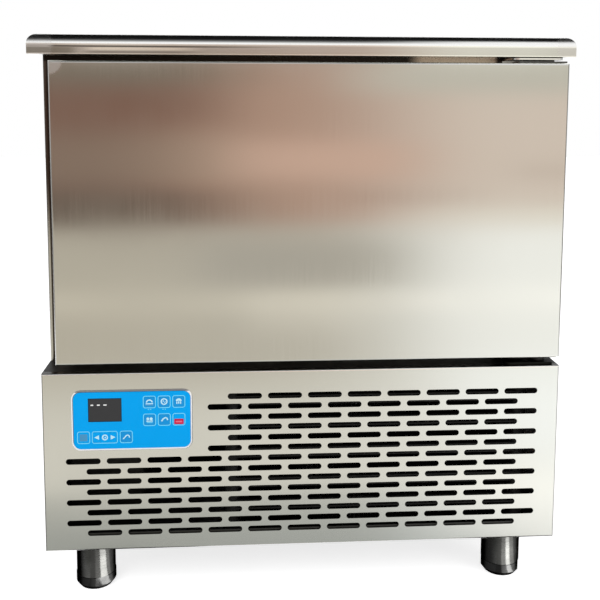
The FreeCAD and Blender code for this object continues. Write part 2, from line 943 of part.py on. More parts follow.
def make_foot(label, x, y, angle):
    """Turned foot with a stem for the leg and two flats for a spanner, screwed round by some angle."""
    body = new_body(label)
    turn(body, Vector(0, 0, 1), angle.value)
    place(body, x, y)
    profile = elevation(body)
    polygon(profile, [
        (0, 0),
        (d.foot_base_radius, 0),
        (d.foot_radius, d.foot_taper),
        (d.foot_radius, d.foot_height),
        (d.foot_stem_radius, d.foot_height),
        (d.foot_stem_radius, d.foot_height + d.foot_stem_length),
        (0, d.foot_height + d.foot_stem_length),
    ])
    revolve(body, profile)
    flats = plan(body, d.foot_height)
    outside = d.foot_radius + d.fit_gap
    rectangle(flats, -outside, outside, d.foot_flat, outside)
    rectangle(flats, -outside, outside, -outside, -d.foot_flat)
    pocket(body, flats, d.foot_height)


def make_hinge_bracket(label, level, up):
    """Angle bracket: a leaf in the gap over or under the door and a flange on the fascia."""
    body = new_body(label)
    place(body, hinge_x, hinge_y, level)
    rear = body_front_y - hinge_y
    leaf = plan(body)
    rectangle(leaf, -d.hinge_reach, d.hinge_nose, -d.hinge_nose, rear)
    circle(leaf, 0, 0, d.hinge_pin_radius + d.shaft_gap)
    pad(body, leaf, d.hinge_plate, back=not up)
    fillet(body, d.hinge_nose / 2, lambda edge: lies_at(edge, y=-d.hinge_nose) and (
        lies_at(edge, x=d.hinge_nose) or lies_at(edge, x=-d.hinge_reach)))
    flange = elevation(body, rear)
    far = d.hinge_flange_width - d.hinge_reach
    if up:
        rectangle(flange, -d.hinge_reach, far, 0, d.hinge_plate + d.hinge_flange_height)
    else:
        rectangle(flange, -d.hinge_reach, far, -d.hinge_plate - d.hinge_flange_height, 0)
    pad(body, flange, d.hinge_plate)


def make_hinge_pins():
    """One pin upright in the lower bracket and one hanging from the upper bracket."""
    body = new_body("hinge_pins", several=True)
    place(body, hinge_x, hinge_y)
    lower = plan(body, panel_top_z)
    circle(lower, 0, 0, d.hinge_pin_radius)
    pad(body, lower, d.gap_under_door + d.hinge_pin_grip)
    upper = plan(body, body_top_z)
    circle(upper, 0, 0, d.hinge_pin_radius)
    pad(body, upper, d.gap_over_door + d.hinge_pin_grip, back=True)


def door_outline(body, z, wall, back):
    """Plan of the door with the finger channel down its left edge."""
    left = door_left_x + wall
    front = face_y + wall
    channel_front = face_y + d.grip_lip - wall
    channel_back = face_y + d.grip_lip + d.grip_width + wall
    channel_in = door_left_x + d.grip_depth + wall
    outline = plan(body, z)
    polygon(outline, [
        (left, front),
        (door_right_x - wall, front),
        (door_right_x - wall, back),
        (left, back),
        (left, channel_back),
        (channel_in, channel_back),
        (channel_in, channel_front),
        (left, channel_front),
    ])
    return outline


def door_bush_holes(body, radius):
    """Round holes for the hinge bushes in the top and bottom of a door piece."""
    top = plan(body, door_top_z)
    circle(top, hinge_x, hinge_y, radius)
    pocket(body, top, d.bush_sleeve + d.fit_gap)
    bottom = plan(body, door_bottom_z)
    circle(bottom, hinge_x, hinge_y, radius)
    pocket(body, bottom, d.bush_sleeve + d.fit_gap, along=True)


def make_door_skin():
    body = new_body("door_skin")
    back = door_back_y - d.door_liner_sheet
    outline = door_outline(body, door_bottom_z, 0, back)
    pad(body, outline, d.door_height)
    fillet(body, d.door_bend, lambda edge: lies_at(edge, y=face_y))
    shell(body, d.door_sheet, lambda face: lies_at(face, y=back))
    door_bush_holes(body, bush_radius + d.fit_gap)


def make_door_foam():
    body = new_body("door_foam")
    wall = d.door_sheet + d.fit_gap
    back = door_back_y - d.door_liner_sheet
    outline = door_outline(body, door_bottom_z + wall, wall, back)
    pad(body, outline, d.door_height - 2 * wall)
    fillet(body, d.door_bend - d.door_sheet, lambda edge: lies_at(edge, y=face_y + wall))
    door_bush_holes(body, bush_radius + d.fit_gap)


def make_door_liner():
    """Moulded back of the door with a raised field that stands in front of the chamber's mouth."""
    body = new_body("door_liner")
    plate = elevation(body, door_back_y - d.door_liner_sheet)
    rectangle(plate, door_left_x, door_right_x, door_bottom_z, door_top_z)
    pad(body, plate, d.door_liner_sheet, back=True)
    field = elevation(body, door_back_y)
    half = mouth_half - d.plug_margin
    low = floor_z + d.plug_margin
    high = ceiling_z - d.plug_margin
    round_rectangle(field, -half, half, low, high, d.plug_corner)
    pad(body, field, d.plug_height, back=True)
    fillet(body, d.plug_height / 2, lambda edge: lies_at(edge, y=door_back_y + d.plug_height))


def make_door_gasket():
    """Seal frame: a flat base on the door and a narrower rounded bulb that meets the fascia."""
    body = new_body("door_gasket")
    base_inner = d.seal_offset
    base_outer = d.seal_offset + d.seal_width
    layers = (
        (door_back_y, base_inner, base_outer, d.seal_base),
        (door_back_y + d.seal_base, base_inner + d.seal_lip, base_outer - d.seal_lip,
         d.seal_gap - d.seal_base - d.fit_gap),
    )
    for y, inner, outer, height in layers:
        ring = elevation(body, y)
        for step in (outer, inner):
            rectangle(ring, -liner_half - step, liner_half + step, liner_floor_z - step, liner_roof_z + step)
        pad(body, ring, height, back=True)
    fillet(body, d.seal_round, lambda edge: lies_at(edge, y=body_front_y - d.fit_gap))


def make_door_hinge_plates():
    """Two steel leaves on the top and bottom edges of the door, holed for the bushes."""
    body = new_body("door_hinge_plates", several=True)
    half = d.door_plate_width / 2
    left = door_right_x - d.door_plate_length
    for level, down in ((door_top_z, False), (door_bottom_z, True)):
        leaf = plan(body, level)
        rectangle(leaf, left, door_right_x, hinge_y - half, hinge_y + half)
        circle(leaf, hinge_x, hinge_y, bush_radius + d.shaft_gap)
        pad(body, leaf, d.door_plate_sheet, back=down)


def make_hinge_bushes():
    """Flanged plastic bushes: the sleeve sits in the door and the flange bears on the bracket."""
    body = new_body("hinge_bushes", several=True)
    bore = d.hinge_pin_radius + d.shaft_gap
    lower_bearing = panel_top_z + d.hinge_plate + d.fit_gap
    upper_bearing = body_top_z - d.hinge_plate - d.fit_gap
    lower_plate = door_bottom_z - d.door_plate_sheet
    upper_plate = door_top_z + d.door_plate_sheet
    place(body, hinge_x, hinge_y)
    levels = (
        (lower_bearing, lower_plate, door_bottom_z + d.bush_sleeve),
        (upper_bearing, upper_plate, door_top_z - d.bush_sleeve),
    )
    for bearing, plate, end in levels:
        profile = elevation(body)
        polygon(profile, [
            (bore, bearing),
            (d.bush_flange_radius, bearing),
            (d.bush_flange_radius, plate),
            (bush_radius, plate),
            (bush_radius, end),
            (bore, end),
        ])
        revolve(body, profile)


def control_box(margin):
    """Left, right, low and high of the control panel's outline, drawn in by a margin."""
    half_width = d.control_width / 2 - margin
    half_height = d.control_height / 2 - margin
    return control_x - half_width, control_x + half_width, control_z - half_height, control_z + half_height


def key_spots():
    """Centre and width of each key, by name, from the left and top of the control panel."""
    left = control_x - d.control_width / 2
    top = control_z + d.control_height / 2
    half = d.key_size / 2
    row_z = top - d.key_row_drop - half
    arrow_half = d.arrow_key_width / 2
    frame_left = left + d.arrow_frame_left
    frame_right = frame_left + d.arrow_frame_width
    spots = {
        "key_power": (left + d.power_key_left + half, row_z, d.key_size),
        "key_left": (frame_left + arrow_half, row_z, d.arrow_key_width),
        "key_right": (frame_right - arrow_half, row_z, d.arrow_key_width),
        "key_menu": (left + d.menu_key_left + half, row_z, d.key_size),
    }
    block = (
        ("key_chill", 0, 0), ("key_freeze", 1, 0), ("key_probe", 2, 0),
        ("key_timer", 0, 1), ("key_defrost", 1, 1), ("key_start", 2, 1),
    )
    for name, column, line in block:
        x = left + d.key_block_left + half + d.key_pitch_x * column
        z = top - d.key_block_drop - half - d.key_pitch_z * line
        spots[name] = (x, z, d.key_size)
    return spots


def display_box(margin):
    left = control_x - d.control_width / 2 + d.display_left
    top = control_z + d.control_height / 2 - d.display_drop
    return left + margin, left + d.display_width - margin, top - d.display_height + margin, top - margin


def make_control_bezel():
    body = new_body("control_bezel")
    outline = elevation(body, face_y)
    round_rectangle(outline, *control_box(0), d.control_corner)
    round_rectangle(outline, *control_box(d.bezel_rim), d.control_corner - d.bezel_rim)
    pad(body, outline, d.bezel_height)
    fillet(body, d.bezel_rim / 3, lambda edge: lies_at(edge, y=face_y - d.bezel_height))


def make_control_overlay():
    """Front plate of the control panel with a window for the display and one for each key."""
    body = new_body("control_overlay")
    inset = d.bezel_rim + d.fit_gap / 2
    outline = elevation(body, face_y)
    round_rectangle(outline, *control_box(inset), d.control_corner - inset)
    rectangle(outline, *display_box(0))
    pad(body, outline, d.overlay_sheet)
    half = d.key_size / 2
    for x, z, width in key_spots().values():
        window = elevation(body, face_y)
        round_rectangle(window, x - width / 2, x + width / 2, z - half, z + half, d.key_corner)
        pocket(body, window, d.overlay_sheet, along=True)


def make_display_window():
    body = new_body("display_window")
    outline = elevation(body, face_y + d.display_back)
    rectangle(outline, *display_box(d.fit_gap / 2))
    pad(body, outline, d.display_back + d.overlay_sheet)


def make_key(label, x, z, width):
    """Key cap in its window, with a retaining flange and a stem towards its switch behind."""
    body = new_body(label)
    place(body, x, face_y, z)
    cap_half_width = width / 2 - d.fit_gap / 2
    cap_half_height = d.key_size / 2 - d.fit_gap / 2
    cap = elevation(body)
    round_rectangle(cap, -cap_half_width, cap_half_width, -cap_half_height, cap_half_height, d.key_corner)
    pad(body, cap, d.overlay_sheet + d.key_proud)
    fillet(body, d.key_proud / 2, lambda edge: lies_at(edge, y=-d.overlay_sheet - d.key_proud))
    flange_half_width = width / 2 + d.key_flange
    flange_half_height = d.key_size / 2 + d.key_flange
    flange = elevation(body)
    rectangle(flange, -flange_half_width, flange_half_width, -flange_half_height, flange_half_height)
    pad(body, flange, d.key_flange_sheet, back=True)
    stem = elevation(body)
    rectangle(stem, -d.key_stem / 2, d.key_stem / 2, -d.key_stem / 2, d.key_stem / 2)
    pad(body, stem, d.key_flange_sheet + d.key_stem_length, back=True)


def make_control_board():
    """Circuit board with the display module and one push switch behind each key."""
    body = new_body("control_board")
    outline = elevation(body, face_y + d.board_back)
    rectangle(outline, *control_box(d.board_margin))
    pad(body, outline, d.board_sheet, back=True)
    module = elevation(body, face_y + d.board_back)
    rectangle(module, *display_box(d.fit_gap))
    pad(body, module, d.board_back - d.display_back)
    switch_height = d.board_back - d.key_flange_sheet - d.key_stem_length - d.key_travel - d.shaft_gap
    switches = elevation(body, face_y + d.board_back)
    half = d.key_stem / 2 + d.fit_gap
    for x, z, width in key_spots().values():
        rectangle(switches, x - half, x + half, z - half, z + half)
    pad(body, switches, switch_height)


def make_control_housing():
    """Open box on the back of the panel whose four posts carry the board."""
    body = new_body("control_housing")
    front = face_y + d.casing_sheet
    rear = face_y + d.housing_depth
    outline = elevation(body, front)
    rectangle(outline, *control_box(-d.housing_margin))
    pad(body, outline, d.housing_depth - d.casing_sheet, back=True)
    shell(body, d.housing_wall, lambda face: lies_at(face, y=front))
    left, right, low, high = control_box(d.board_margin + d.housing_post * 2)
    posts = elevation(body, rear)
    for x in (left, right):
        for z in (low, high):
            circle(posts, x, z, d.housing_post)
    pad(body, posts, d.housing_depth - d.board_back - d.board_sheet)


def make_rack(label, side):
    """Upright pair with five angle runners, held off the chamber wall by pegs."""
    body = new_body(label)
    front = body_front_y + d.rack_front_gap
    rear = baffle_y - d.rack_back_gap
    guide = d.rack_guide_half
    wall = guide + d.rack_sheet
    first = floor_z + d.rack_first
    lip = guide - d.rack_runner_width
    profile = elevation(body, rear)
    polygon(profile, [
        (lip * side, first),
        (wall * side, first),
        (wall * side, first + d.rack_runner_height),
        (guide * side, first + d.rack_runner_height),
        (guide * side, first + d.rack_sheet),
        (lip * side, first + d.rack_sheet),
    ])
    runner = pad(body, profile, rear - front)
    repeat(body, [runner], ("Z", d.rack_pitch, d.rack_levels))
    post_outer = wall + d.rack_post_depth
    post_top = first + d.rack_pitch * (d.rack_levels - 1) + d.rack_runner_height
    post_spots = (front + d.rack_post_inset, rear - d.rack_post_inset - d.rack_post_width)
    left, right = (wall, post_outer) if side > 0 else (-post_outer, -wall)
    posts = plan(body, first)
    for y in post_spots:
        rectangle(posts, left, right, y, y + d.rack_post_width)
    pad(body, posts, post_top - first)
    pegs = side_view(body, post_outer * side)
    for y in post_spots:
        for z in (first + d.rack_pitch / 2, post_top - d.rack_pitch / 2):
            circle(pegs, y + d.rack_post_width / 2, z, d.rack_peg_radius)
    pad(body, pegs, mouth_half - d.fit_gap - post_outer, back=side < 0)


def make_fan_baffle():
    """Folded cover in front of the evaporator with a round opening for the fan."""
    body = new_body("fan_baffle")
    low = floor_z + d.fit_gap
    high = ceiling_z - d.fit_gap
    rear = baffle_y + d.baffle_flange
    inner = baffle_y + d.baffle_sheet
    profile = side_view(body, -d.baffle_half_width)
    polygon(profile, [
        (baffle_y, low),
        (rear, low),
        (rear, low + d.baffle_sheet),
        (inner, low + d.baffle_sheet),
        (inner, high - d.baffle_sheet),
        (rear, high - d.baffle_sheet),
        (rear, high),
        (baffle_y, high),
    ])
    pad(body, profile, d.baffle_half_width * 2)
    opening = elevation(body, baffle_y)
    circle(opening, 0, middle_z, d.cold_fan_radius + d.fan_ring_gap)
    pocket(body, opening, d.baffle_sheet)


def make_motor(label, spot, length, arm_radius, arm_length):
    """Fan motor on four flat arms whose feet reach forward to the sheet that carries it.

    The shaft lies along the depth and points to the front; the spot is the front of the motor's can."""
    body = new_body(label)
    place(body, *spot)
    can = elevation(body, length)
    circle(can, 0, 0, d.motor_radius)
    pad(body, can, length)
    fillet(body, d.motor_arm_sheet * 2, lambda edge: lies_at(edge, y=length))
    shaft = elevation(body)
    circle(shaft, 0, 0, d.shaft_radius)
    pad(body, shaft, d.shaft_length)
    half = d.motor_arm_width / 2
    arm = elevation(body, d.motor_arm_sheet)
    rectangle(arm, 0, arm_radius, -half, half)
    arm_pad = pad(body, arm, d.motor_arm_sheet)
    foot = elevation(body)
    rectangle(foot, arm_radius - d.motor_arm_sheet, arm_radius, -half, half)
    foot_pad = pad(body, foot, arm_length)
    repeat_round(body, [arm_pad, foot_pad], "Y", 4)


def blade_section(reach, chord, pitch):
    """Thin cambered section of a blade at a distance from the axis, as a closed wire."""
    sweep = math.radians(d.fan_camber.value)
    camber_radius = chord / (2 * math.sin(sweep / 2))
    thickness = d.fan_blade_sheet.value
    sag = camber_radius * math.cos(sweep / 2)

    def spot(radius, angle):
        across = radius * math.sin(angle)
        rise = radius * math.cos(angle) - sag
        turn_angle = math.radians(pitch)
        around = across * math.cos(turn_angle) - rise * math.sin(turn_angle)
        up = across * math.sin(turn_angle) + rise * math.cos(turn_angle)
        return Vector(reach, around, up)

    edges = []
    rows = [[spot(radius, sweep / 2 * step) for step in (-1, 0, 1)]
            for radius in (camber_radius, camber_radius + thickness)]
    edges.append(Part.Arc(*rows[0]).toShape())
    edges.append(Part.makeLine(rows[0][2], rows[1][2]))
    edges.append(Part.Arc(*reversed(rows[1])).toShape())
    edges.append(Part.makeLine(rows[1][0], rows[0][0]))
    return Part.Wire(edges)


def make_fan(label, tip_radius, x, y, z):
    """Axial fan: a cupped hub with twisted, cambered blades; its axis lies along the depth."""
    hub_radius = d.fan_hub_radius.value
    height = d.fan_hub_height.value
    hub = Part.makeCylinder(hub_radius, height, Vector(0, 0, -height / 2))
    front_edge = [edge for edge in hub.Edges if lies_at(edge, z=height / 2)]
    hub = hub.makeFillet(height / 4, front_edge)
    tip = value_of(tip_radius)
    root = hub_radius - d.fan_root_bury.value
    sections = [
        blade_section(root, d.fan_root_chord.value, d.fan_root_pitch.value),
        blade_section(tip, d.fan_tip_chord.value, d.fan_tip_pitch.value),
    ]
    blade = Part.makeLoft(sections, True, True)
    round_tip = Part.makeCylinder(tip, d.fan_width.value * 2, Vector(0, 0, -d.fan_width.value))
    blade = blade.common(round_tip)
    count = int(d.fan_blades.value)
    blades = []
    for index in range(count):
        copy = blade.copy()
        copy.rotate(Vector(), Vector(0, 0, 1), 360 * index / count)
        blades.append(copy)
    wheel = hub.fuse(blades)
    bore = Part.makeCylinder(d.shaft_radius.value + d.shaft_gap.value, height * 2, Vector(0, 0, -height))
    wheel = wheel.cut(bore)
    item = solid(label, wheel)
    turn(item, Vector(1, 0, 0), 90)
    place(item, x, y, z)


def make_fan_guard():
    """Guard of flat rings on radial bars, held off the baffle by four feet."""
    body = new_body("fan_guard", several=True)
    front = baffle_y - d.guard_standoff
    outer = d.guard_ring_pitch * d.guard_rings + d.guard_wire
    place(body, 0, front, middle_z)
    rings = elevation(body)
    for index in range(int(d.guard_rings.value)):
        radius = d.guard_ring_pitch * (index + 1)
        circle(rings, 0, 0, radius)
        circle(rings, 0, 0, radius + d.guard_wire)
    pad(body, rings, d.guard_wire, back=True)
    half = d.guard_wire / 2
    bar = elevation(body, d.guard_wire)
    rectangle(bar, d.guard_ring_pitch, outer, -half, half)
    bar_pad = pad(body, bar, d.guard_bar, back=True)
    foot = elevation(body)
    rectangle(foot, outer - d.guard_wire, outer, -half, half)
    foot_pad = pad(body, foot, d.guard_standoff, back=True)
    repeat_round(body, [bar_pad, foot_pad], "Y", d.guard_spokes)


def bent_path(spots, bend):
    """A wire through the spots with every corner rounded to a bend radius."""
    edges = []
    start = spots[0]
    for before, corner, after in zip(spots, spots[1:], spots[2:]):
        way_in = (before - corner).normalize()
        way_out = (after - corner).normalize()
        half_angle = way_in.getAngle(way_out) / 2
        setback = bend / math.tan(half_angle)
        middle_way = (way_in + way_out).normalize()
        centre = corner + middle_way * (bend / math.sin(half_angle))
        entry = corner + way_in * setback
        leave = corner + way_out * setback
        edges.append(Part.makeLine(start, entry))
        edges.append(Part.Arc(entry, centre - middle_way * bend, leave).toShape())
        start = leave
    edges.append(Part.makeLine(start, spots[-1]))
    return Part.Wire(edges)


def bent_tube(spots, radius, bend, wall):
    """A tube swept along the bent path."""
    path = bent_path(spots, bend)
    way = (spots[1] - spots[0]).normalize()
    outer = Part.Wire(Part.makeCircle(radius, spots[0], way))
    tube = path.makePipeShell([outer], True, False)
    if wall:
        inner = Part.Wire(Part.makeCircle(radius - wall, spots[0], way))
        tube = tube.cut(path.makePipeShell([inner], True, False))
    return tube


def at(x, y, z):
    return Vector(value_of(x), value_of(y), value_of(z))


def coil_column(y):
    """Corner points of one serpentine, from the right end at the bottom row to the top row."""
    reach = d.coil_half_width + d.coil_end_sheet + d.coil_row_pitch / 2
    rows = int(d.coil_rows.value)
    spots = []
    for index in range(rows):
        z = coil_low_z + d.coil_row_pitch * index
        ends = (reach, -reach) if index % 2 == 0 else (-reach, reach)
        spots.extend(at(x, y, z) for x in ends)
    spots[0] = at(coil_port_x, y, coil_low_z)
    last_side = 1 if rows % 2 == 0 else -1
    spots[-1] = at(coil_port_x * last_side, y, coil_low_z + d.coil_row_pitch * (rows - 1))
    return spots


def make_evaporator_coil():
    """Two serpentine tubes between end plates, with strip fins standing between the rows."""
    tube_radius = d.coil_tube_radius.value
    front = coil_rear_y - d.coil_depth
    shapes = []
    columns = (feed_y, suction_y)
    bend = value_of(d.coil_row_pitch / 2 - d.coil_bend_lead)
    for y in columns:
        shapes.append(bent_tube(coil_column(y), tube_radius, bend, 0))
    plate_low = floor_z + d.coil_end_lift
    plate_high = ceiling_z - d.coil_end_lift
    rows = int(d.coil_rows.value)
    sheet_width = d.coil_end_sheet.value
    depth = d.coil_depth.value
    clear_radius = tube_radius + d.fit_gap.value
    along = Vector(1, 0, 0)
    for side in (-1, 1):
        left = value_of(d.coil_half_width) if side > 0 else -value_of(d.coil_half_width + d.coil_end_sheet)
        plate_height = value_of(plate_high - plate_low)
        plate = Part.makeBox(sheet_width, depth, plate_height, at(left, front, plate_low))
        holes = []
        for y in columns:
            for index in range(rows):
                spot = at(left - sheet_width, y, coil_low_z + d.coil_row_pitch * index)
                holes.append(Part.makeCylinder(clear_radius, sheet_width * 3, spot, along))
        shapes.append(plate.cut(holes))
    fin_sheet = d.coil_fin_sheet.value
    fin_pitch = d.coil_fin_pitch.value
    fin_height = d.coil_row_pitch.value - 2 * clear_radius
    count = int(2 * d.coil_half_width.value / fin_pitch)
    first_x = -fin_pitch * (count - 1) / 2
    for index in range(count):
        x = first_x + fin_pitch * index - fin_sheet / 2
        for row in range(rows - 1):
            z = coil_low_z + d.coil_row_pitch * row + clear_radius
            shapes.append(Part.makeBox(fin_sheet, depth, fin_height, at(x, front, z)))
    solid("evaporator_coil", Part.makeCompound(shapes))


def make_condenser():
    """Flat-tube condenser: two upright headers joined by many thin flat tubes."""
    body = new_body("condenser", several=True)
    headers = plan(body, deck_z)
    for x in (condenser_left_x, condenser_right_x):
        circle(headers, x, condenser_y, d.condenser_header_radius)
    pad(body, headers, d.condenser_height)
    front = condenser_y - d.condenser_depth / 2
    rear = condenser_y + d.condenser_depth / 2
    tube = plan(body, deck_z + d.condenser_first)
    rectangle(tube, condenser_left_x, condenser_right_x, front, rear)
    tube_pad = pad(body, tube, d.condenser_tube_sheet)
    repeat(body, [tube_pad], ("Z", d.condenser_tube_pitch, d.condenser_tubes))
    stubs = elevation(body, condenser_y)
    circle(stubs, condenser_left_x, pipe_z, d.condenser_stub_radius)
    circle(stubs, condenser_right_x, liquid_z, d.condenser_stub_radius)
    pad(body, stubs, condenser_port_y - condenser_y, back=True)


def make_condenser_shroud():
    """Sheet box behind the condenser with a round collar for the fan."""
    body = new_body("condenser_shroud")
    edge = d.condenser_header_radius + d.shroud_margin
    outline = elevation(body, shroud_y)
    left = condenser_left_x + edge
    right = condenser_right_x - edge
    rectangle(outline, left, right, deck_z + d.fit_gap, deck_z + d.condenser_height)
    pad(body, outline, d.shroud_depth, back=True)
    shell(body, d.shroud_sheet, lambda face: lies_at(face, y=shroud_y))
    bore = d.hot_fan_radius + d.fan_ring_gap
    collar = elevation(body, shroud_back_y)
    circle(collar, hot_fan_x, hot_fan_z, bore + d.shroud_ring_sheet)
    pad(body, collar, d.shroud_ring_depth, back=True)
    opening = elevation(body, shroud_back_y + d.shroud_ring_depth)
    circle(opening, hot_fan_x, hot_fan_z, bore)
    pocket(body, opening, d.shroud_ring_depth + d.shroud_sheet, along=True)


def make_compressor():
    """Hermetic compressor: a domed can with a seam flange, two pipe stubs and two foot rails."""
    body = new_body("compressor")
    place(body, compressor_x, d.compressor_y, compressor_z)
    wall = d.compressor_shell
    half = d.compressor_height / 2
    rim = d.compressor_height - d.compressor_dome
    crown = d.compressor_radius - d.compressor_dome
    inner = d.compressor_radius - wall
    seam = d.compressor_radius + d.compressor_seam
    seam_half = d.compressor_seam / 2
    foot_radius = d.compressor_radius - d.compressor_dome / 3
    profile = elevation(body)
    polygon(profile, [
        (0, 0),
        (foot_radius, 0),
        (d.compressor_radius, d.compressor_dome / 3),
        (d.compressor_radius, half - seam_half),
        (seam, half - seam_half),
        (seam, half + seam_half),
        (d.compressor_radius, half + seam_half),
        (d.compressor_radius, rim),
        (crown, d.compressor_height),
        (0, d.compressor_height),
        (0, d.compressor_height - wall),
        (crown - wall, d.compressor_height - wall),
        (inner, rim - wall),
        (inner, d.compressor_dome / 3 + wall),
        (foot_radius - wall, wall),
        (0, wall),
    ])
    revolve(body, profile)
    fillet(body, d.compressor_dome / 3, lambda edge: (
        lies_at(edge, z=rim) or lies_at(edge, z=d.compressor_height)))
    rails = plan(body)
    for side in (-1, 1):
        low = d.mount_span_y / 2 * side - d.compressor_foot_width / 2
        rectangle(rails, -d.compressor_foot_half, d.compressor_foot_half, low, low + d.compressor_foot_width)
    pad(body, rails, d.compressor_foot_sheet)
    stub_top = stub_top_z - compressor_z
    stubs = plan(body, stub_top)
    circle(stubs, -d.compressor_stub_reach, 0, d.suction_radius + d.pipe_wall)
    circle(stubs, condenser_left_x - compressor_x, 0, d.pipe_radius + d.pipe_wall)
    pad(body, stubs, stub_top - rim, back=True)


def make_compressor_mounts():
    """Four rubber mounts between the deck and the compressor's feet."""
    body = new_body("compressor_mounts", several=True)
    place(body, compressor_x - d.mount_span_x / 2, d.compressor_y - d.mount_span_y / 2, deck_z)
    profile = elevation(body)
    polygon(profile, [
        (0, 0),
        (d.mount_radius, 0),
        (d.mount_radius, d.mount_height / 3),
        (d.mount_waist, d.mount_height / 2),
        (d.mount_radius, d.mount_height * 2 / 3),
        (d.mount_radius, d.mount_height),
        (0, d.mount_height),
    ])
    mount = revolve(body, profile)
    repeat(body, [mount], ("X", d.mount_span_x, 2), ("Y", d.mount_span_y, 2))


def make_receiver_tank():
    """Upright liquid receiver with domed ends, a stub on top and one on its front."""
    body = new_body("receiver_tank")
    place(body, condenser_right_x, d.receiver_y, deck_z)
    wall = d.receiver_shell
    crown = d.receiver_radius - d.receiver_dome
    shoulder = d.receiver_height - d.receiver_dome
    profile = elevation(body)
    polygon(profile, [
        (0, 0),
        (crown, 0),
        (d.receiver_radius, d.receiver_dome),
        (d.receiver_radius, shoulder),
        (crown, d.receiver_height),
        (0, d.receiver_height),
        (0, d.receiver_height - wall),
        (crown - wall / 2, d.receiver_height - wall),
        (d.receiver_radius - wall, shoulder - wall / 2),
        (d.receiver_radius - wall, d.receiver_dome + wall / 2),
        (crown - wall / 2, wall),
        (0, wall),
    ])
    revolve(body, profile)
    outlet = plan(body, stub_top_z - deck_z)
    circle(outlet, 0, 0, d.pipe_radius + d.pipe_wall)
    pad(body, outlet, stub_top_z - deck_z - shoulder, back=True)
    inlet = elevation(body, receiver_port_y - d.receiver_y)
    circle(inlet, 0, liquid_z - deck_z, d.condenser_stub_radius)
    pad(body, inlet, d.condenser_stub_length + wall, back=True)


def make_refrigerant_lines():
    """Discharge, liquid, feed and suction pipes, each from one stub to the next."""
    wall = d.pipe_wall.value
    bend = d.pipe_bend.value
    right_x = condenser_right_x
    suction_x = compressor_x - d.compressor_stub_reach
    routes = {
        "discharge": (d.pipe_radius, [
            at(condenser_left_x, condenser_port_y, pipe_z),
            at(condenser_left_x, d.compressor_y, pipe_z),
            at(condenser_left_x, d.compressor_y, stub_top_z),
        ]),
        "liquid": (d.pipe_radius, [
            at(right_x, condenser_port_y, liquid_z),
            at(right_x, receiver_port_y, liquid_z),
        ]),
        "feed": (d.pipe_radius, [
            at(right_x, d.receiver_y, stub_top_z),
            at(right_x, d.receiver_y, pipe_z),
            at(right_x, feed_y, pipe_z),
            at(pipe_x, feed_y, pipe_z),
            at(pipe_x, feed_y, coil_low_z),
            at(coil_port_x, feed_y, coil_low_z),
        ]),
        "suction": (d.suction_radius, [
            at(coil_port_x, suction_y, coil_low_z),
            at(pipe_x, suction_y, coil_low_z),
            at(pipe_x, suction_y, pipe_z),
            at(suction_x, suction_y, pipe_z),
            at(suction_x, d.compressor_y, pipe_z),
            at(suction_x, d.compressor_y, stub_top_z),
        ]),
    }
    tubes = [bent_tube(spots, radius.value, bend, wall) for radius, spots in routes.values()]
    solid("refrigerant_lines", Part.makeCompound(tubes))


def make_electrical_box():
    """Steel box for the contactors with a lid that overhangs its walls."""
    body = new_body("electrical_box")
    left = d.casing_sheet + d.electric_left - half_body
    right = left + d.electric_width
    front = face_y + d.electric_front
    rear = front + d.electric_depth
    case = plan(body, deck_z)
    rectangle(case, left, right, front, rear)
    pad(body, case, d.electric_height)
    shell(body, d.electric_wall, lambda face: lies_at(face, z=deck_z + d.electric_height))
    lid = plan(body, deck_z + d.electric_height)
    edge = d.electric_lid
    rectangle(lid, left - edge, right + edge, front - edge, rear + edge)
    pad(body, lid, d.electric_lid)


def make_cabinet():
    make_worktop()
    make_side_panel("side_panel_left", -1)
    make_side_panel("side_panel_right", 1)
    make_rear_panel()
    make_rear_grille()
    make_cable_gland()
    make_front_fascia()
    make_breaker_frame()
    make_insulation()
    make_floor_skin()
    make_inner_liner()
    make_base_tray()
    make_sill_strip()
    make_machine_panel()
    make_casing_screws()
    make_leg_tubes()
    for depth, y in (("front", leg_front_y), ("rear", leg_back_y)):
        make_foot(f"foot_{depth}_left", -leg_x, y, d.foot_turn_left)
        make_foot(f"foot_{depth}_right", leg_x, y, d.foot_turn_right)


def make_door():
    make_hinge_bracket("hinge_bracket_upper", body_top_z, False)
    make_hinge_bracket("hinge_bracket_lower", panel_top_z, True)
    make_hinge_pins()
    make_door_skin()
    make_door_foam()
    make_door_liner()
    make_door_gasket()
    make_door_hinge_plates()
    make_hinge_bushes()


def make_controls():
    make_control_bezel()
    make_control_overlay()
    make_display_window()
    for name, (x, z, width) in key_spots().items():
        make_key(name, x, z, width)
    make_control_board()
    make_control_housing()


def make_chamber():
    make_rack("rack_left", -1)
    make_rack("rack_right", 1)
    make_fan_baffle()
    make_evaporator_coil()
    opening = d.cold_fan_radius + d.fan_ring_gap
    carrier = baffle_y + d.baffle_sheet
    spot = (0, carrier + d.cold_motor_standoff, middle_z)
    arm_radius = opening + d.motor_arm_margin
    make_motor("evaporator_fan_motor", spot, d.cold_motor_length, arm_radius, d.cold_motor_standoff)
    make_fan("evaporator_fan", d.cold_fan_radius, 0, baffle_y + d.cold_fan_setback, middle_z)
    make_fan_guard()


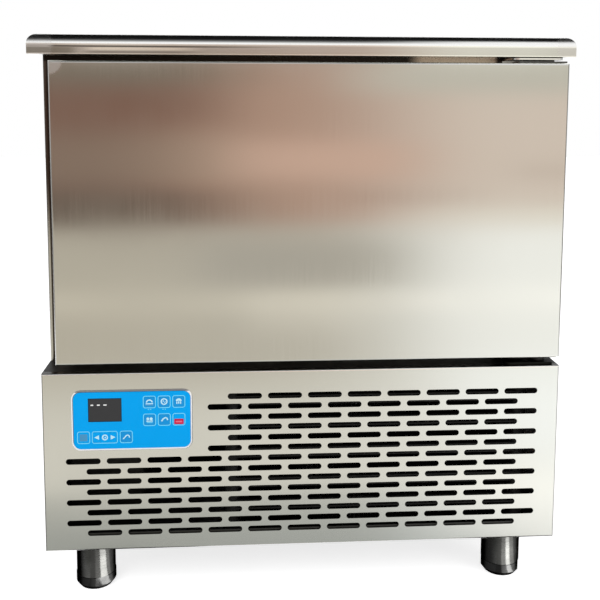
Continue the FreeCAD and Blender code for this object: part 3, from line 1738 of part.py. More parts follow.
def make_machinery():
    make_condenser()
    make_condenser_shroud()
    standoff = d.shroud_ring_depth + d.motor_arm_gap
    spot = (hot_fan_x, shroud_back_y + standoff, hot_fan_z)
    arm_radius = d.hot_fan_radius + d.fan_ring_gap + d.shroud_ring_sheet + d.motor_arm_margin
    make_motor("condenser_fan_motor", spot, d.hot_motor_length, arm_radius, standoff)
    wheel_y = shroud_back_y + d.shroud_ring_depth / 2
    make_fan("condenser_fan", d.hot_fan_radius, hot_fan_x, wheel_y, hot_fan_z)
    make_compressor()
    make_compressor_mounts()
    make_receiver_tank()
    make_refrigerant_lines()
    make_electrical_box()


def write_parts():
    """Checks every object and piece, then writes one file for each piece."""
    doc.recompute()
    for item in doc.Objects:
        if {"Invalid", "Error"} & set(item.State):
            raise ValueError(f"{item.Label} failed")
    for item in nodes:
        if item.Shape.isNull() or not item.Shape.isValid():
            raise ValueError(f"{item.Label} has no sound shape")
    os.makedirs("parts", exist_ok=True)
    for item in nodes:
        item.Shape.exportStep(f"parts/{item.Label}.step")
        print(f"{item.Label}: {len(item.Shape.Solids)} solid, {item.Shape.Volume / 1000:.1f} cm3")


make_cabinet()
make_door()
make_controls()
make_chamber()
make_machinery()
write_parts()
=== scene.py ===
import math

import bmesh
import bpy
from mathutils import Matrix, Vector
from mathutils.geometry import tessellate_polygon


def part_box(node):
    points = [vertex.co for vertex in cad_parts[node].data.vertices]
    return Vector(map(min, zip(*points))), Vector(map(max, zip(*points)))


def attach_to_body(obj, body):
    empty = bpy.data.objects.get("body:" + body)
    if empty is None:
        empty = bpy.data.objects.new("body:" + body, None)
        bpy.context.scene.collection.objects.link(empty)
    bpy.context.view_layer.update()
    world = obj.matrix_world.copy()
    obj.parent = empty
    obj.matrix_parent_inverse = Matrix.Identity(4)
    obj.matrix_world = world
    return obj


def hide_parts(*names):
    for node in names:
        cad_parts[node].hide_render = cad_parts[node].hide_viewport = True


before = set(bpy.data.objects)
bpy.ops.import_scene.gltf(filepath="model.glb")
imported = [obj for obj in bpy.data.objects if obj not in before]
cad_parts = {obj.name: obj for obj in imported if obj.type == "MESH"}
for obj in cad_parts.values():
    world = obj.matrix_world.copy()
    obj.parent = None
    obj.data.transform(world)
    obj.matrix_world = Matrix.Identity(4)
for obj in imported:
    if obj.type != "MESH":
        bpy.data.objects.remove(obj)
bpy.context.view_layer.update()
scene = bpy.context.scene
scene.view_settings.view_transform = "Standard"
mm = 0.001
print("frame loaded:", len(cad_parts), "nodes")


# camera, fitted to the corners of the worktop, the door, the machine panel and the legs

cameraView = {
    "spot": (-0.1026, -1.611, 0.7777),
    "yaw": 3.72,  # degrees to the right
    "pitch": 6.0,  # degrees down
    "roll": 0.2,
    "lens": 51.48,
    "sensor": 36,
    "shift": (0.0128, -0.1917),
}


def makeCamera(view):
    yaw, pitch, roll = (math.radians(view[name]) for name in ("yaw", "pitch", "roll"))
    ahead = Vector((math.sin(yaw) * math.cos(pitch), math.cos(yaw) * math.cos(pitch), -math.sin(pitch)))
    level = Vector((math.cos(yaw), -math.sin(yaw), 0))
    upright = level.cross(ahead)
    right = level * math.cos(roll) + upright * math.sin(roll)
    up = upright * math.cos(roll) - level * math.sin(roll)
    lens = bpy.data.cameras.new("photoCamera")
    lens.lens = view["lens"]
    lens.sensor_width = view["sensor"]
    lens.shift_x, lens.shift_y = view["shift"]
    camera = bpy.data.objects.new("photoCamera", lens)
    turn = Matrix((right, up, -ahead)).transposed()
    camera.matrix_world = Matrix.Translation(view["spot"]) @ turn.to_4x4()
    scene.collection.objects.link(camera)
    scene.camera = camera


makeCamera(cameraView)
print("camera placed")


# shader helpers

def addNode(tree, kind, **settings):
    node = tree.nodes.new("ShaderNode" + kind)
    for name, value in settings.items():
        setattr(node, name, value)
    return node


def plug(tree, socket, value):
    if isinstance(value, bpy.types.NodeSocket):
        tree.links.new(value, socket)
    else:
        socket.default_value = value


def feed(tree, node, **inputs):
    for name, value in inputs.items():
        plug(tree, node.inputs[name.replace("_", " ")], value)
    return node


def rgba(colour, factor=1.0):
    return (colour[0] * factor, colour[1] * factor, colour[2] * factor, 1.0)


def blendColours(tree, factor, low, high):
    node = addNode(tree, "Mix", data_type="RGBA")
    for index, value in ((0, factor), (6, low), (7, high)):
        plug(tree, node.inputs[index], value)
    return node.outputs[2]


def calculate(tree, operation, *values):
    node = addNode(tree, "Math", operation=operation)
    for socket, value in zip(node.inputs, values):
        plug(tree, socket, value)
    return node.outputs[0]


def stretchRange(tree, value, low, high, newLow, newHigh):
    node = addNode(tree, "MapRange", interpolation_type="SMOOTHSTEP")
    for index, item in enumerate((value, low, high, newLow, newHigh)):
        plug(tree, node.inputs[index], item)
    return node.outputs[0]


def riseMask(tree, value, edges):
    return stretchRange(tree, value, *edges, 0.0, 1.0)


def patchMask(tree, value, edges):
    fall = stretchRange(tree, value, *edges[2:], 1.0, 0.0)
    return calculate(tree, "MULTIPLY", riseMask(tree, value, edges[:2]), fall)


def areaMask(tree, across, acrossEdges, up, upEdges):
    return calculate(tree, "MULTIPLY", patchMask(tree, across, acrossEdges), patchMask(tree, up, upEdges))


def surfaceParts(tree, output="Object"):
    parts = addNode(tree, "SeparateXYZ")
    tree.links.new(addNode(tree, "TexCoord").outputs[output], parts.inputs[0])
    return parts.outputs


def repaint(tree, shader, mask, tone):
    before = shader.inputs["Base Color"].links[0].from_socket
    feed(tree, shader, Base_Color=blendColours(tree, mask, before, tone))


def addNoise(tree, spot, scale, detail):
    return feed(tree, addNode(tree, "TexNoise"), Vector=spot, Scale=scale, Detail=detail)


# surface patterns, each a node group built once: drawn grain, moulded speckle and zinc flakes

fineDetail, wideDetail, cloudDetail = 2.0, 3.0, 4.0
lineRough = 0.6


def newGroup(name, inputs, outputs):
    group = bpy.data.node_groups.new(name, "ShaderNodeTree")
    for label, kind, value in inputs:
        socket = group.interface.new_socket(name=label, in_out="INPUT", socket_type="NodeSocket" + kind)
        if value is not None:
            socket.default_value = value
    for label in outputs:
        group.interface.new_socket(name=label, in_out="OUTPUT", socket_type="NodeSocketFloat")
    return group, group.nodes.new("NodeGroupInput").outputs, group.nodes.new("NodeGroupOutput").inputs


def makeGrainGroup():
    group, given, result = newGroup(
        "brushedGrain",
        (("Vector", "Vector", None), ("Stretch", "Vector", (900, 900, 8)), ("Cloud Scale", "Float", 5.0)),
        ("Lines", "Cloud"),
    )
    drawn = addNode(group, "VectorMath", operation="MULTIPLY")
    plug(group, drawn.inputs[0], given["Vector"])
    plug(group, drawn.inputs[1], given["Stretch"])
    fine = feed(group, addNoise(group, drawn.outputs[0], 1.0, fineDetail), Roughness=lineRough)
    wide = addNoise(group, given["Vector"], given["Cloud Scale"], wideDetail)
    group.links.new(fine.outputs[0], result["Lines"])
    group.links.new(wide.outputs[0], result["Cloud"])
    return group


def makeSpeckleGroup():
    group, given, result = newGroup(
        "mouldSpeckle",
        (("Vector", "Vector", None), ("Scale", "Float", 900.0), ("Cloud Scale", "Float", 14.0)),
        ("Height", "Cloud"),
    )
    grain = addNoise(group, given["Vector"], given["Scale"], fineDetail)
    cloud = addNoise(group, given["Vector"], given["Cloud Scale"], cloudDetail)
    group.links.new(grain.outputs[0], result["Height"])
    group.links.new(cloud.outputs[0], result["Cloud"])
    return group


def makeSpangleGroup():
    group, given, result = newGroup(
        "zincSpangle",
        (("Vector", "Vector", None), ("Scale", "Float", 80.0), ("Cloud Scale", "Float", 7.0)),
        ("Flake", "Cloud"),
    )
    flake = feed(group, addNode(group, "TexVoronoi"), Vector=given["Vector"], Scale=given["Scale"])
    tone = addNode(group, "SeparateColor")
    group.links.new(flake.outputs["Color"], tone.inputs[0])
    cloud = addNoise(group, given["Vector"], given["Cloud Scale"], cloudDetail)
    group.links.new(tone.outputs[0], result["Flake"])
    group.links.new(cloud.outputs[0], result["Cloud"])
    return group


brushedGrain = makeGrainGroup()
mouldSpeckle = makeSpeckleGroup()
zincSpangle = makeSpangleGroup()


def newMaterial(name):
    material = bpy.data.materials.new(name)
    material.use_nodes = True
    tree = material.node_tree
    return material, tree, tree.nodes["Principled BSDF"]


def placeGroup(tree, group, **inputs):
    node = addNode(tree, "Group", node_tree=group)
    return feed(tree, node, Vector=addNode(tree, "TexCoord").outputs["Object"], **inputs)


def addBump(tree, shader, height, strength, distance):
    bump = feed(tree, addNode(tree, "Bump"), Height=height, Strength=strength, Distance=distance)
    tree.links.new(bump.outputs[0], shader.inputs["Normal"])


# recipes: the pattern behind a finish, and which of its outputs varies tone, roughness and bump, and how far

finishRecipes = {
    "steel": {
        "group": brushedGrain,
        "tone": ("Lines", 0.97, 1.03),
        "rough": ("Lines", 0.25, 0.75, 0.025, 0.025),
        "bump": ("Lines", 0.02, 0.0001),
    },
    "leg": {
        "group": brushedGrain,
        "tone": ("Cloud", 0.5, 1.5),
        "rough": ("Lines", 0.3, 0.7, 0.04, 0.05),
        "bump": ("Lines", 0.03, 0.0001),
    },
    "zinc": {
        "group": zincSpangle,
        "tone": ("Flake", 0.94, 1.06),
        "rough": ("Cloud", 0.3, 0.7, 0.06, 0.08),
        "bump": ("Flake", 0.04, 0.0002),
    },
    "metal": {
        "group": brushedGrain,
        "tone": ("Cloud", 0.8, 1.1),
        "rough": ("Lines", 0.3, 0.7, 0.06, 0.1),
        "bump": ("Lines", 0.05, 0.0002),
    },
    "plain": {
        "group": mouldSpeckle,
        "tone": ("Cloud", 0.93, 1.07),
        "rough": ("Cloud", 0.3, 0.7, 0.04, 0.05),
        "bump": ("Height", None, 0.0002),  # each row has its own strength
        "metallic": 0.0,
    },
}
materials = {}


def startFinish(name, finish, kind, **inputs):
    recipe = finishRecipes[kind]
    material, tree, shader = newMaterial(name)
    pattern = placeGroup(tree, recipe["group"], **inputs).outputs
    colour, rough = finish["colour"], finish["rough"]
    source, low, high = recipe["tone"]
    tone = blendColours(tree, pattern[source], rgba(colour, low), rgba(colour, high))
    source, low, high, less, more = recipe["rough"]
    varied = stretchRange(tree, pattern[source], low, high, rough - less, rough + more)
    feed(tree, shader, Base_Color=tone, Roughness=varied, Metallic=recipe.get("metallic", 1.0))
    source, strength, distance = recipe["bump"]
    addBump(tree, shader, pattern[source], finish.get("bump", strength), distance)
    materials[name] = material
    return tree, shader, pattern


# sheet steel: drawn grain, cloudy cleaning marks, reflections smeared across the grain

drawnUp = (1500, 1500, 9)
drawnAcross = (40, 900, 900)
steelFinishes = {
    "doorSteel": {
        "colour": (0.645, 0.64, 0.63),
        "rough": 0.16,
        "smear": 0.6,
        "stretch": drawnUp,
        "ground": [((-0.3735, -0.348, 0.826), 0.021, 0.2)],  # corner weld: spot, reach, rougher by
        "paintedEdge": [("door_skin", 0, 0.0022), ("door_skin", 1, 0.003)],  # painted highlight on the folds: node, end, width
        # painted reflection: the fold at the right side darker
        "bends": {"sides": (1,), "tone": (0.36, 0.355, 0.345)},
    },
    "panelSteel": {
        "colour": (0.65, 0.645, 0.63),
        "rough": 0.22,
        "smear": 0.6,
        "stretch": drawnUp,
        # painted highlight on the top fold
        "paintedEdge": [("machine_panel", 1, 0.003)],
        # painted reflection on both side folds, painted shade on the top ledge
        "bends": {"sides": (-1, 1), "tone": (0.25, 0.246, 0.24), "ledgeTone": (0.02, 0.02, 0.02)},
    },
    "sideSteel": {"colour": (0.62, 0.615, 0.60), "rough": 0.28, "smear": 0.8, "stretch": drawnUp},
    "linerSteel": {"colour": (0.66, 0.66, 0.65), "rough": 0.26, "smear": 0.5, "stretch": (60, 1500, 1500)},
    "topSteel": {
        "colour": (0.64, 0.63, 0.615),
        "rough": 0.18,
        "smear": 0.4,
        "stretch": (9, 1500, 1500),
        "ground": [((-0.4025, -0.348, 0.85), 0.038, 0.12), ((0.4025, -0.348, 0.85), 0.03, 0.12)],
        # painted highlight along the bottom fold
        "paintedEdge": [("worktop", 0, 0.002)],
        # painted highlight, painted gleam and painted shade on the nose
        "paintedNoseLight": {
            "inFrontOf": (-0.332, -0.338),
            "areas": [  # where each starts, is full, is last full and ends, across and up, and its tone
                ((-1, -0.9, 0.9, 1), (0.847, 0.8495, 0.9, 1), (0.95, 0.95, 0.94)),
                ((-0.375, -0.36, -0.2, 0.0), (0.8448, 0.8456, 0.8468, 0.8476), (0.18, 0.17, 0.16)),
                ((-0.33, -0.30, -0.2, -0.14), (0.8395, 0.842, 0.8442, 0.845), (0.97, 0.95, 0.90)),
                ((-0.33, -0.30, -0.2, -0.14), (0.836, 0.837, 0.8385, 0.8405), (0.42, 0.40, 0.39)),
                ((-0.42, -0.41, -0.345, -0.325), (0.836, 0.837, 0.844, 0.845), (0.40, 0.39, 0.36)),
            ],
        },
    },
    "hingeSteel": {"colour": (0.80, 0.80, 0.80), "rough": 0.24, "smear": 0.3, "stretch": drawnAcross},
    "leafSteel": {
        "colour": (0.80, 0.80, 0.80),
        "rough": 0.24,
        "smear": 0.3,
        "stretch": drawnAcross,
        # painted shadow along the leaf's top edge, under the worktop
        "paintedEdge": [("hinge_bracket_upper", 1, 0.0019)],
        "paintedEdgeTone": (0.012, 0.011, 0.010),
    },
    "darkSteel": {"colour": (0.10, 0.10, 0.10), "rough": 0.28, "smear": 0.3, "stretch": drawnAcross},
    "blackSteel": {"colour": (0.012, 0.012, 0.011), "rough": 0.4, "smear": 0.3, "stretch": drawnAcross},
    "jambSteel": {
        "colour": (0.56, 0.55, 0.53),
        "rough": 0.26,
        "smear": 0.6,
        "stretch": drawnUp,
        "shade": {
            # painted shade on the upper jamb strip left of the door
            "left": (-0.388, -0.384),
            "leftFrom": (0.53, 0.66),
            "leftTone": (0.115, 0.092, 0.078),
            "line": (-0.3905, -0.3895, -0.385, -0.383),  # painted shadow line beside the door's edge
            "lineTone": (0.06, 0.05, 0.045),
            "above": (0.826, 0.829),  # painted shade over the door, with a stretch of painted reflection
            "tone": (0.02, 0.018, 0.016),
            "paintedGleam": (0.16, 0.19, 0.298, 0.306),
            "paintedGleamTone": (0.42, 0.36, 0.30),
        },
    },
}
# tone of the painted highlight on folds
paintedHighlight = (0.95, 0.95, 0.93)
groundFade = (0.004, 0.002)  # how far a ground patch fades inside and outside its reach
cleaningMarks = (0.35, 0.7, -0.015, 0.03)  # clouds from and to, rougher from and to
foldFacing = {"bend": (0.12, 0.3, 0.86, 0.96), "ledge": (0.8, 0.92)}  # how far a fold faces sideways or up


def makeSteel(name, finish):
    tree, shader, pattern = startFinish(name, finish, "steel", Stretch=finish["stretch"])
    marks = stretchRange(tree, pattern["Cloud"], *cleaningMarks)
    rough = shader.inputs["Roughness"].links[0].from_socket
    feed(tree, shader, Roughness=calculate(tree, "ADD", rough, marks), Anisotropic=finish["smear"])
    if "ground" in finish:
        addGroundPatches(tree, shader, finish["ground"])
    if "shade" in finish:
        addShade(tree, shader, finish["shade"])
    for node, end, width in finish.get("paintedEdge", ()):
        addPaintedEdge(tree, shader, node, end, width, finish.get("paintedEdgeTone", paintedHighlight))
    if "paintedNoseLight" in finish:
        addPaintedNoseLight(tree, shader, finish["paintedNoseLight"])
    if "bends" in finish:
        addBends(tree, shader, finish["bends"])


def addGroundPatches(tree, shader, patches):
    place = addNode(tree, "TexCoord").outputs["Object"]
    rough = shader.inputs["Roughness"].links[0].from_socket
    inside, outside = groundFade
    for spot, reach, extra in patches:
        away = addNode(tree, "VectorMath", operation="DISTANCE")
        plug(tree, away.inputs[0], place)
        plug(tree, away.inputs[1], spot)
        more = stretchRange(tree, away.outputs["Value"], reach - inside, reach + outside, extra, 0.0)
        rough = calculate(tree, "ADD", rough, more)
    feed(tree, shader, Roughness=rough)


# painted shade on the jamb and over the door, with a painted reflection in the shade
def addShade(tree, shader, shade):
    x, _, z = surfaceParts(tree)
    left = stretchRange(tree, x, *shade["left"], 1.0, 0.0)
    left = calculate(tree, "MULTIPLY", left, riseMask(tree, z, shade["leftFrom"]))
    repaint(tree, shader, left, rgba(shade["leftTone"]))
    repaint(tree, shader, patchMask(tree, x, shade["line"]), rgba(shade["lineTone"]))
    paintedGleam = patchMask(tree, x, shade["paintedGleam"])
    head = blendColours(tree, paintedGleam, rgba(shade["tone"]), rgba(shade["paintedGleamTone"]))
    repaint(tree, shader, riseMask(tree, z, shade["above"]), head)


def addPaintedNoseLight(tree, shader, paintedNoseLight):  # painted light on the worktop's nose: a painted highlight on the round, a dark line, a painted gleam, painted shade and a darker end
    x, y, z = surfaceParts(tree)
    nose = riseMask(tree, y, paintedNoseLight["inFrontOf"])
    for across, up, tone in paintedNoseLight["areas"]:
        mask = calculate(tree, "MULTIPLY", areaMask(tree, x, across, z, up), nose)
        repaint(tree, shader, mask, rgba(tone))


# painted edge: a painted highlight or a painted shadow near one end of a part
def addPaintedEdge(tree, shader, node, end, width, tone):
    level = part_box(node)[end][2]
    inner = level + (width if end == 0 else -width)
    mask = riseMask(tree, surfaceParts(tree)[2], (inner, (inner + level) / 2))
    repaint(tree, shader, mask, rgba(tone))


def addBends(tree, shader, bends):  # painted reflection: folds darkened as if they mirrored the dark of the room beside them, and painted shade on ledges that face up
    right, _, up = surfaceParts(tree, "Normal")
    for side in bends["sides"]:
        mask = patchMask(tree, calculate(tree, "MULTIPLY", right, side), foldFacing["bend"])
        repaint(tree, shader, mask, rgba(bends["tone"]))
    if "ledgeTone" in bends:
        repaint(tree, shader, riseMask(tree, up, foldFacing["ledge"]), rgba(bends["ledgeTone"]))


for finishName, finishValues in steelFinishes.items():
    makeSteel(finishName, finishValues)


# leg steel, turned, with painted shade: from where to where the sides that face left go dark, and how dark

legFinishes = {
    "legSteel": {"colour": (0.075, 0.075, 0.073), "rough": 0.26, "paintedLeftShade": (-0.75, -0.25, 0.2)},
    "footSteel": {"colour": (0.05, 0.05, 0.05), "rough": 0.24, "paintedLeftShade": (-0.3, 0.1, 0.35)},
}
legGrain = {"Stretch": (30, 30, 1200), "Cloud_Scale": 38.0}
# black specular tint darkens the rims: painted shade
legSmear = {"Anisotropic": 0.85, "Anisotropic_Rotation": 0.25, "Specular_Tint": (0.0, 0.0, 0.0, 1.0)}


def makeLegSteel(name, finish):
    tree, shader, _ = startFinish(name, finish, "leg", **legGrain)
    feed(tree, shader, **legSmear)
    low, high, share = finish["paintedLeftShade"]
    left = stretchRange(tree, surfaceParts(tree, "Normal")[0], low, high, 1.0, 0.0)
    repaint(tree, shader, left, rgba(finish["colour"], share))


for finishName, finishValues in legFinishes.items():
    makeLegSteel(finishName, finishValues)


zincFinishes = {
    "zincSteel": {"colour": (0.50, 0.51, 0.52), "rough": 0.42, "flakes": 190},
    # dark zinc in the machine compartment: painted shade
    "zincInPaintedShade": {"colour": (0.07, 0.07, 0.07), "rough": 0.5, "flakes": 190},
}

for finishName, finishValues in zincFinishes.items():
    startFinish(finishName, finishValues, "zinc", Scale=finishValues["flakes"])


# moulded, printed, painted and rubber finishes share one recipe, each row with its own values

plainColumns = ("colour", "rough", "speckle", "bump", "shine")
plainFinishes = {
    "darkPlastic": ((0.022, 0.022, 0.023), 0.48, 1100, 0.12, 0.5),
    "sillBlack": ((0.005, 0.005, 0.0045), 0.5, 1100, 0.1, 0.2),
    "doorMoulding": ((0.70, 0.70, 0.68), 0.34, 700, 0.05, 0.5),
    "sealRubber": ((0.035, 0.035, 0.037), 0.6, 900, 0.1, 0.5),
    "controlBlue": ((0.0, 0.385, 0.90), 0.42, 2600, 0.03, 0.05),
    "keyBlue": ((0.006, 0.305, 0.72), 0.42, 2600, 0.03, 0.12),
    "displayDark": ((0.046, 0.046, 0.047), 0.3, 300, 0.0, 0.1),
    "boardGreen": ((0.03, 0.2, 0.08), 0.4, 260, 0.2, 0.5),
    "machineBlack": ((0.018, 0.018, 0.019), 0.28, 420, 0.08, 0.5),
    "foam": ((0.78, 0.66, 0.40), 0.85, 500, 0.4, 0.5),
    "printWhite": ((0.56, 0.86, 0.95), 0.45, 2600, 0.02, 0.12),
    "printCyan": ((0.20, 0.74, 0.98), 0.4, 2600, 0.02, 0.12),
    "printGrey": ((0.07, 0.31, 0.56), 0.4, 2600, 0.02, 0.12),
    "printRed": ((0.66, 0.012, 0.05), 0.4, 2600, 0.02, 0.12),
    "printRose": ((0.83, 0.16, 0.24), 0.4, 2600, 0.02, 0.12),
    "displayMark": ((0.86, 0.86, 0.84), 0.4, 2600, 0.0, 0.12),
    "displayEdge": ((0.004, 0.035, 0.085), 0.4, 2600, 0.0, 0.12),
    "controlRim": ((0.93, 0.93, 0.92), 0.16, 500, 0.01, 0.5),
    "condenserBlack": ((0.012, 0.012, 0.012), 0.55, 500, 0.05, 0.3),
}
# painted shade on the control rim
rimShadeOn = {
    "controlRim": {
        "node": "control_bezel",
        "tone": (0.22, 0.22, 0.22),
        "facing": (0.3, 0.8),
        "width": 0.0028,
        "feather": 1.2,
    },
}


def makePlain(name, finish):
    tree, shader, _ = startFinish(name, finish, "plain", Scale=finish["speckle"])
    feed(tree, shader, Specular_IOR_Level=finish["shine"])
    if name in rimShadeOn:
        addRimShade(tree, shader, rimShadeOn[name])


def addRimShade(tree, shader, rimShade):  # painted shade on the top stretch and on the sides that face down and right
    right, _, up = surfaceParts(tree, "Normal")
    away = riseMask(tree, calculate(tree, "SUBTRACT", right, up), rimShade["facing"])
    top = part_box(rimShade["node"])[1][2]
    edge = (top - rimShade["width"] * rimShade["feather"], top - rimShade["width"])
    upper = riseMask(tree, surfaceParts(tree)[2], edge)
    repaint(tree, shader, calculate(tree, "MAXIMUM", away, upper), rgba(rimShade["tone"]))


for finishName, finishRow in plainFinishes.items():
    makePlain(finishName, dict(zip(plainColumns, finishRow)))


metalFinishes = {
    "coilAluminium": {"colour": (0.62, 0.63, 0.64), "rough": 0.34, "stretch": (400, 60, 60)},
    "pipeCopper": {"colour": (0.70, 0.33, 0.19), "rough": 0.3, "stretch": (80, 80, 80)},
    "screwSteel": {"colour": (0.60, 0.60, 0.59), "rough": 0.25, "stretch": (500, 500, 500)},
}
metalCloud = 24.0

for finishName, finishValues in metalFinishes.items():
    metalGrain = {"Stretch": finishValues["stretch"], "Cloud_Scale": metalCloud}
    startFinish(finishName, finishValues, "metal", **metalGrain)
print("materials made:", len(materials))


nodeFinish = {
    "doorSteel": ["door_skin"],
    "panelSteel": ["machine_panel"],
    "jambSteel": ["front_fascia"],
    "sideSteel": ["side_panel_left", "side_panel_right"],
    "topSteel": ["worktop"],
    "linerSteel": ["inner_liner", "rack_left", "rack_right", "fan_baffle"],
    "hingeSteel": ["hinge_pins", "fan_guard"],
    "leafSteel": ["hinge_bracket_upper"],
    "darkSteel": ["door_hinge_plates"],
    "blackSteel": ["hinge_bracket_lower"],
    "screwSteel": ["casing_screws"],
    "legSteel": ["leg_tubes"],
    "footSteel": ["foot_front_left", "foot_front_right", "foot_rear_left", "foot_rear_right"],
    "zincSteel": ["rear_panel", "rear_grille", "floor_skin"],
    "zincInPaintedShade": ["base_tray", "electrical_box"],
    "sillBlack": ["sill_strip"],
    "darkPlastic": ["breaker_frame", "control_housing", "hinge_bushes", "cable_gland", "evaporator_fan",
                    "condenser_fan"],
    "foam": ["insulation", "door_foam"],
    "doorMoulding": ["door_liner"],
    "sealRubber": ["door_gasket", "compressor_mounts"],
    "controlBlue": ["control_overlay", "key_power", "key_left", "key_right", "key_start"],
    "keyBlue": ["key_menu", "key_chill", "key_freeze", "key_probe", "key_timer", "key_defrost"],
    "controlRim": ["control_bezel"],
    "displayDark": ["display_window"],
    "boardGreen": ["control_board"],
    "coilAluminium": ["evaporator_coil"],
    "condenserBlack": ["condenser", "condenser_shroud"],
    "machineBlack": ["evaporator_fan_motor", "condenser_fan_motor", "compressor", "receiver_tank"],
    "pipeCopper": ["refrigerant_lines"],
}


def dressNodes():
    dressed = set()
    for finish, names in nodeFinish.items():
        for name in names:
            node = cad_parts[name]
            node.data.materials.clear()
            node.data.materials.append(materials[finish])
            dressed.add(name)
    print("nodes dressed:", len(dressed), "left:", sorted(set(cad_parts) - dressed))


dressNodes()


# pieces: flat marks are cut from outlines in the front view, x to the right and z up, in millimetres

def arcPoints(x, z, radius, start, end, count=5):
    angles = [math.radians(start + (end - start) * step / count) for step in range(count + 1)]
    return [(x + radius * math.cos(angle), z + radius * math.sin(angle)) for angle in angles]


def discLoop(x, z, radius, sides=20):
    return arcPoints(x, z, radius, 0, 360, sides)[:-1]


def roundLoop(width, height, radius, x=0.0, z=0.0):
    points = []
    for right, up, start in ((1, 1, 0), (-1, 1, 90), (-1, -1, 180), (1, -1, 270)):
        cornerX = x + right * (width / 2 - radius)
        cornerZ = z + up * (height / 2 - radius)
        points += arcPoints(cornerX, cornerZ, radius, start, start + 90)
    return points


def strokeLoop(points, width):
    left, right = [], []
    for index, point in enumerate(points):
        before = Vector(points[max(index - 1, 0)])
        after = Vector(points[min(index + 1, len(points) - 1)])
        along = (after - before).normalized() * width / 2
        left.append((point[0] - along.y, point[1] + along.x))
        right.append((point[0] + along.y, point[1] - along.x))
    return left + right[::-1]


def finishMesh(name, shape, finishes, smooth=False):
    bmesh.ops.recalc_face_normals(shape, faces=shape.faces)
    mesh = bpy.data.meshes.new(name)
    shape.to_mesh(mesh)
    shape.free()
    piece = bpy.data.objects.new(name, mesh)
    scene.collection.objects.link(piece)
    for finish in finishes:
        mesh.materials.append(materials[finish])
    if smooth:
        mesh.shade_smooth()
    return piece


def attach(piece, body, slot, *nodes):
    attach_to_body(piece, body)
    if nodes:
        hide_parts(*nodes)


def joinRows(shape, one, two):
    faces = []
    for index in range(len(one)):
        after = (index + 1) % len(one)
        faces.append(shape.faces.new((one[index], one[after], two[after], two[index])))
    return faces


def makePrint(name, marks, centre, face, depth=0.08):
    shape = bmesh.new()
    finishes = sorted({finish for finish, loops in marks})
    for finish, loops in marks:
        layers = []
        for level in (face - depth * mm, face):
            spots = [(centre[0] + x * mm, level, centre[1] + z * mm) for loop in loops for x, z in loop]
            layers.append([shape.verts.new(spot) for spot in spots])
        front, back = layers
        faces = []
        for corners in tessellate_polygon([[Vector((x, z, 0)) for x, z in loop] for loop in loops]):
            faces.append(shape.faces.new([front[corner] for corner in corners]))
            faces.append(shape.faces.new([back[corner] for corner in reversed(corners)]))
        start = 0
        for loop in loops:
            end = start + len(loop)
            faces += joinRows(shape, front[start:end], back[start:end])
            start = end
        for side in faces:
            side.material_index = finishes.index(finish)
    return finishMesh(name, shape, finishes)


def white(*loops):
    return "printWhite", list(loops)


keyMarks = {
    "key_power": [("printGrey", [roundLoop(11.5, 11.0, 1.0)])],
    "key_left": [white([(3.4, 3.5), (-3.6, 0), (3.4, -3.5)])],
    "key_right": [white([(-3.4, 3.5), (-3.4, -3.5), (3.6, 0)])],
    "key_menu": [
        white(strokeLoop([(-4.8, -3.2), (0.2, 2.2), (2.4, 3.0), (4.2, 1.8), (4.8, -1.0)], 1.7)),
    ],
    "key_chill": [
        white(strokeLoop(arcPoints(0, -1.2, 4.4, 8, 172, 10), 1.9)),
        white(strokeLoop([(-5.6, -2.6), (5.6, -2.6)], 1.5)),
        ("printGrey", [strokeLoop([(-5.6, -5.0), (5.6, -5.0)], 1.3)]),
    ],
    "key_freeze": [
        white(discLoop(0, 0.4, 5.2), discLoop(0, 0.4, 3.4)),
        white(strokeLoop([(-1.9, -0.4), (-0.5, 2.2)], 1.2)),
        white(strokeLoop([(0.7, -1.6), (1.9, 0.6)], 1.2)),
    ],
    "key_probe": [
        white(arcPoints(0, 0.2, 4.8, 20, 160, 10) + [(-3.2, 0.4), (0, 1.6), (3.2, 0.4)]),
        white(strokeLoop([(-2.7, 0.2), (-2.9, -3.6)], 1.6)),
        white(strokeLoop([(0, 0.6), (0, -3.2)], 1.6)),
        white(strokeLoop([(2.7, 0.2), (2.9, -3.6)], 1.6)),
    ],
    "key_timer": [
        white(discLoop(-2.6, 1.7, 2.1)),
        white(discLoop(2.3, 1.5, 2.3)),
        white(roundLoop(10.0, 1.5, 0.7, 0, -1.9)),
        ("printCyan", [roundLoop(8.8, 1.2, 0.5, 0, -4.2)]),
    ],
    "key_defrost": [
        white(strokeLoop([(-4.2, -2.6), (-1.6, 1.2), (1.6, 3.0), (4.0, 2.2), (5.2, -0.8)], 2.0)),
    ],
    "key_start": [
        ("printRed", [roundLoop(14.2, 8.4, 1.4, 0, -3.4), roundLoop(9.8, 2.4, 0.6, 0, -3.6)]),
        ("printRose", [roundLoop(9.6, 2.2, 0.6, 0, -3.6)]),
    ],
}


def boxCorners(node):
    return [Vector(corner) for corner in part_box(node)]


def boxMiddle(node):
    low, high = boxCorners(node)
    middle = (low + high) / 2
    return middle.x, middle.z


def makeKeyPrints():
    for node, marks in keyMarks.items():
        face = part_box(node)[0][1]
        piece = makePrint(node + "_print", marks, boxMiddle(node), face)
        attach(piece, node, "control_blue")


overlayMarks = {
    "ring": 19.2,
    "hole": 16.9,
    "corner": 3.4,
    "arrows": ["key_left", "key_right"],  # these two share one ring with a dial between them
    "dots": ["key_chill", "key_freeze"],
    "dotDrop": 11.6,
    "dotSide": 1.7,
    "dotRadius": 0.8,
    "pairTrim": 5.1,
    "dial": (((0.0, -0.2, 4.6), (0.3, -0.2, 2.7)), ((0.6, -0.4, 1.2),)),  # discs and hole: right, up, radius
}


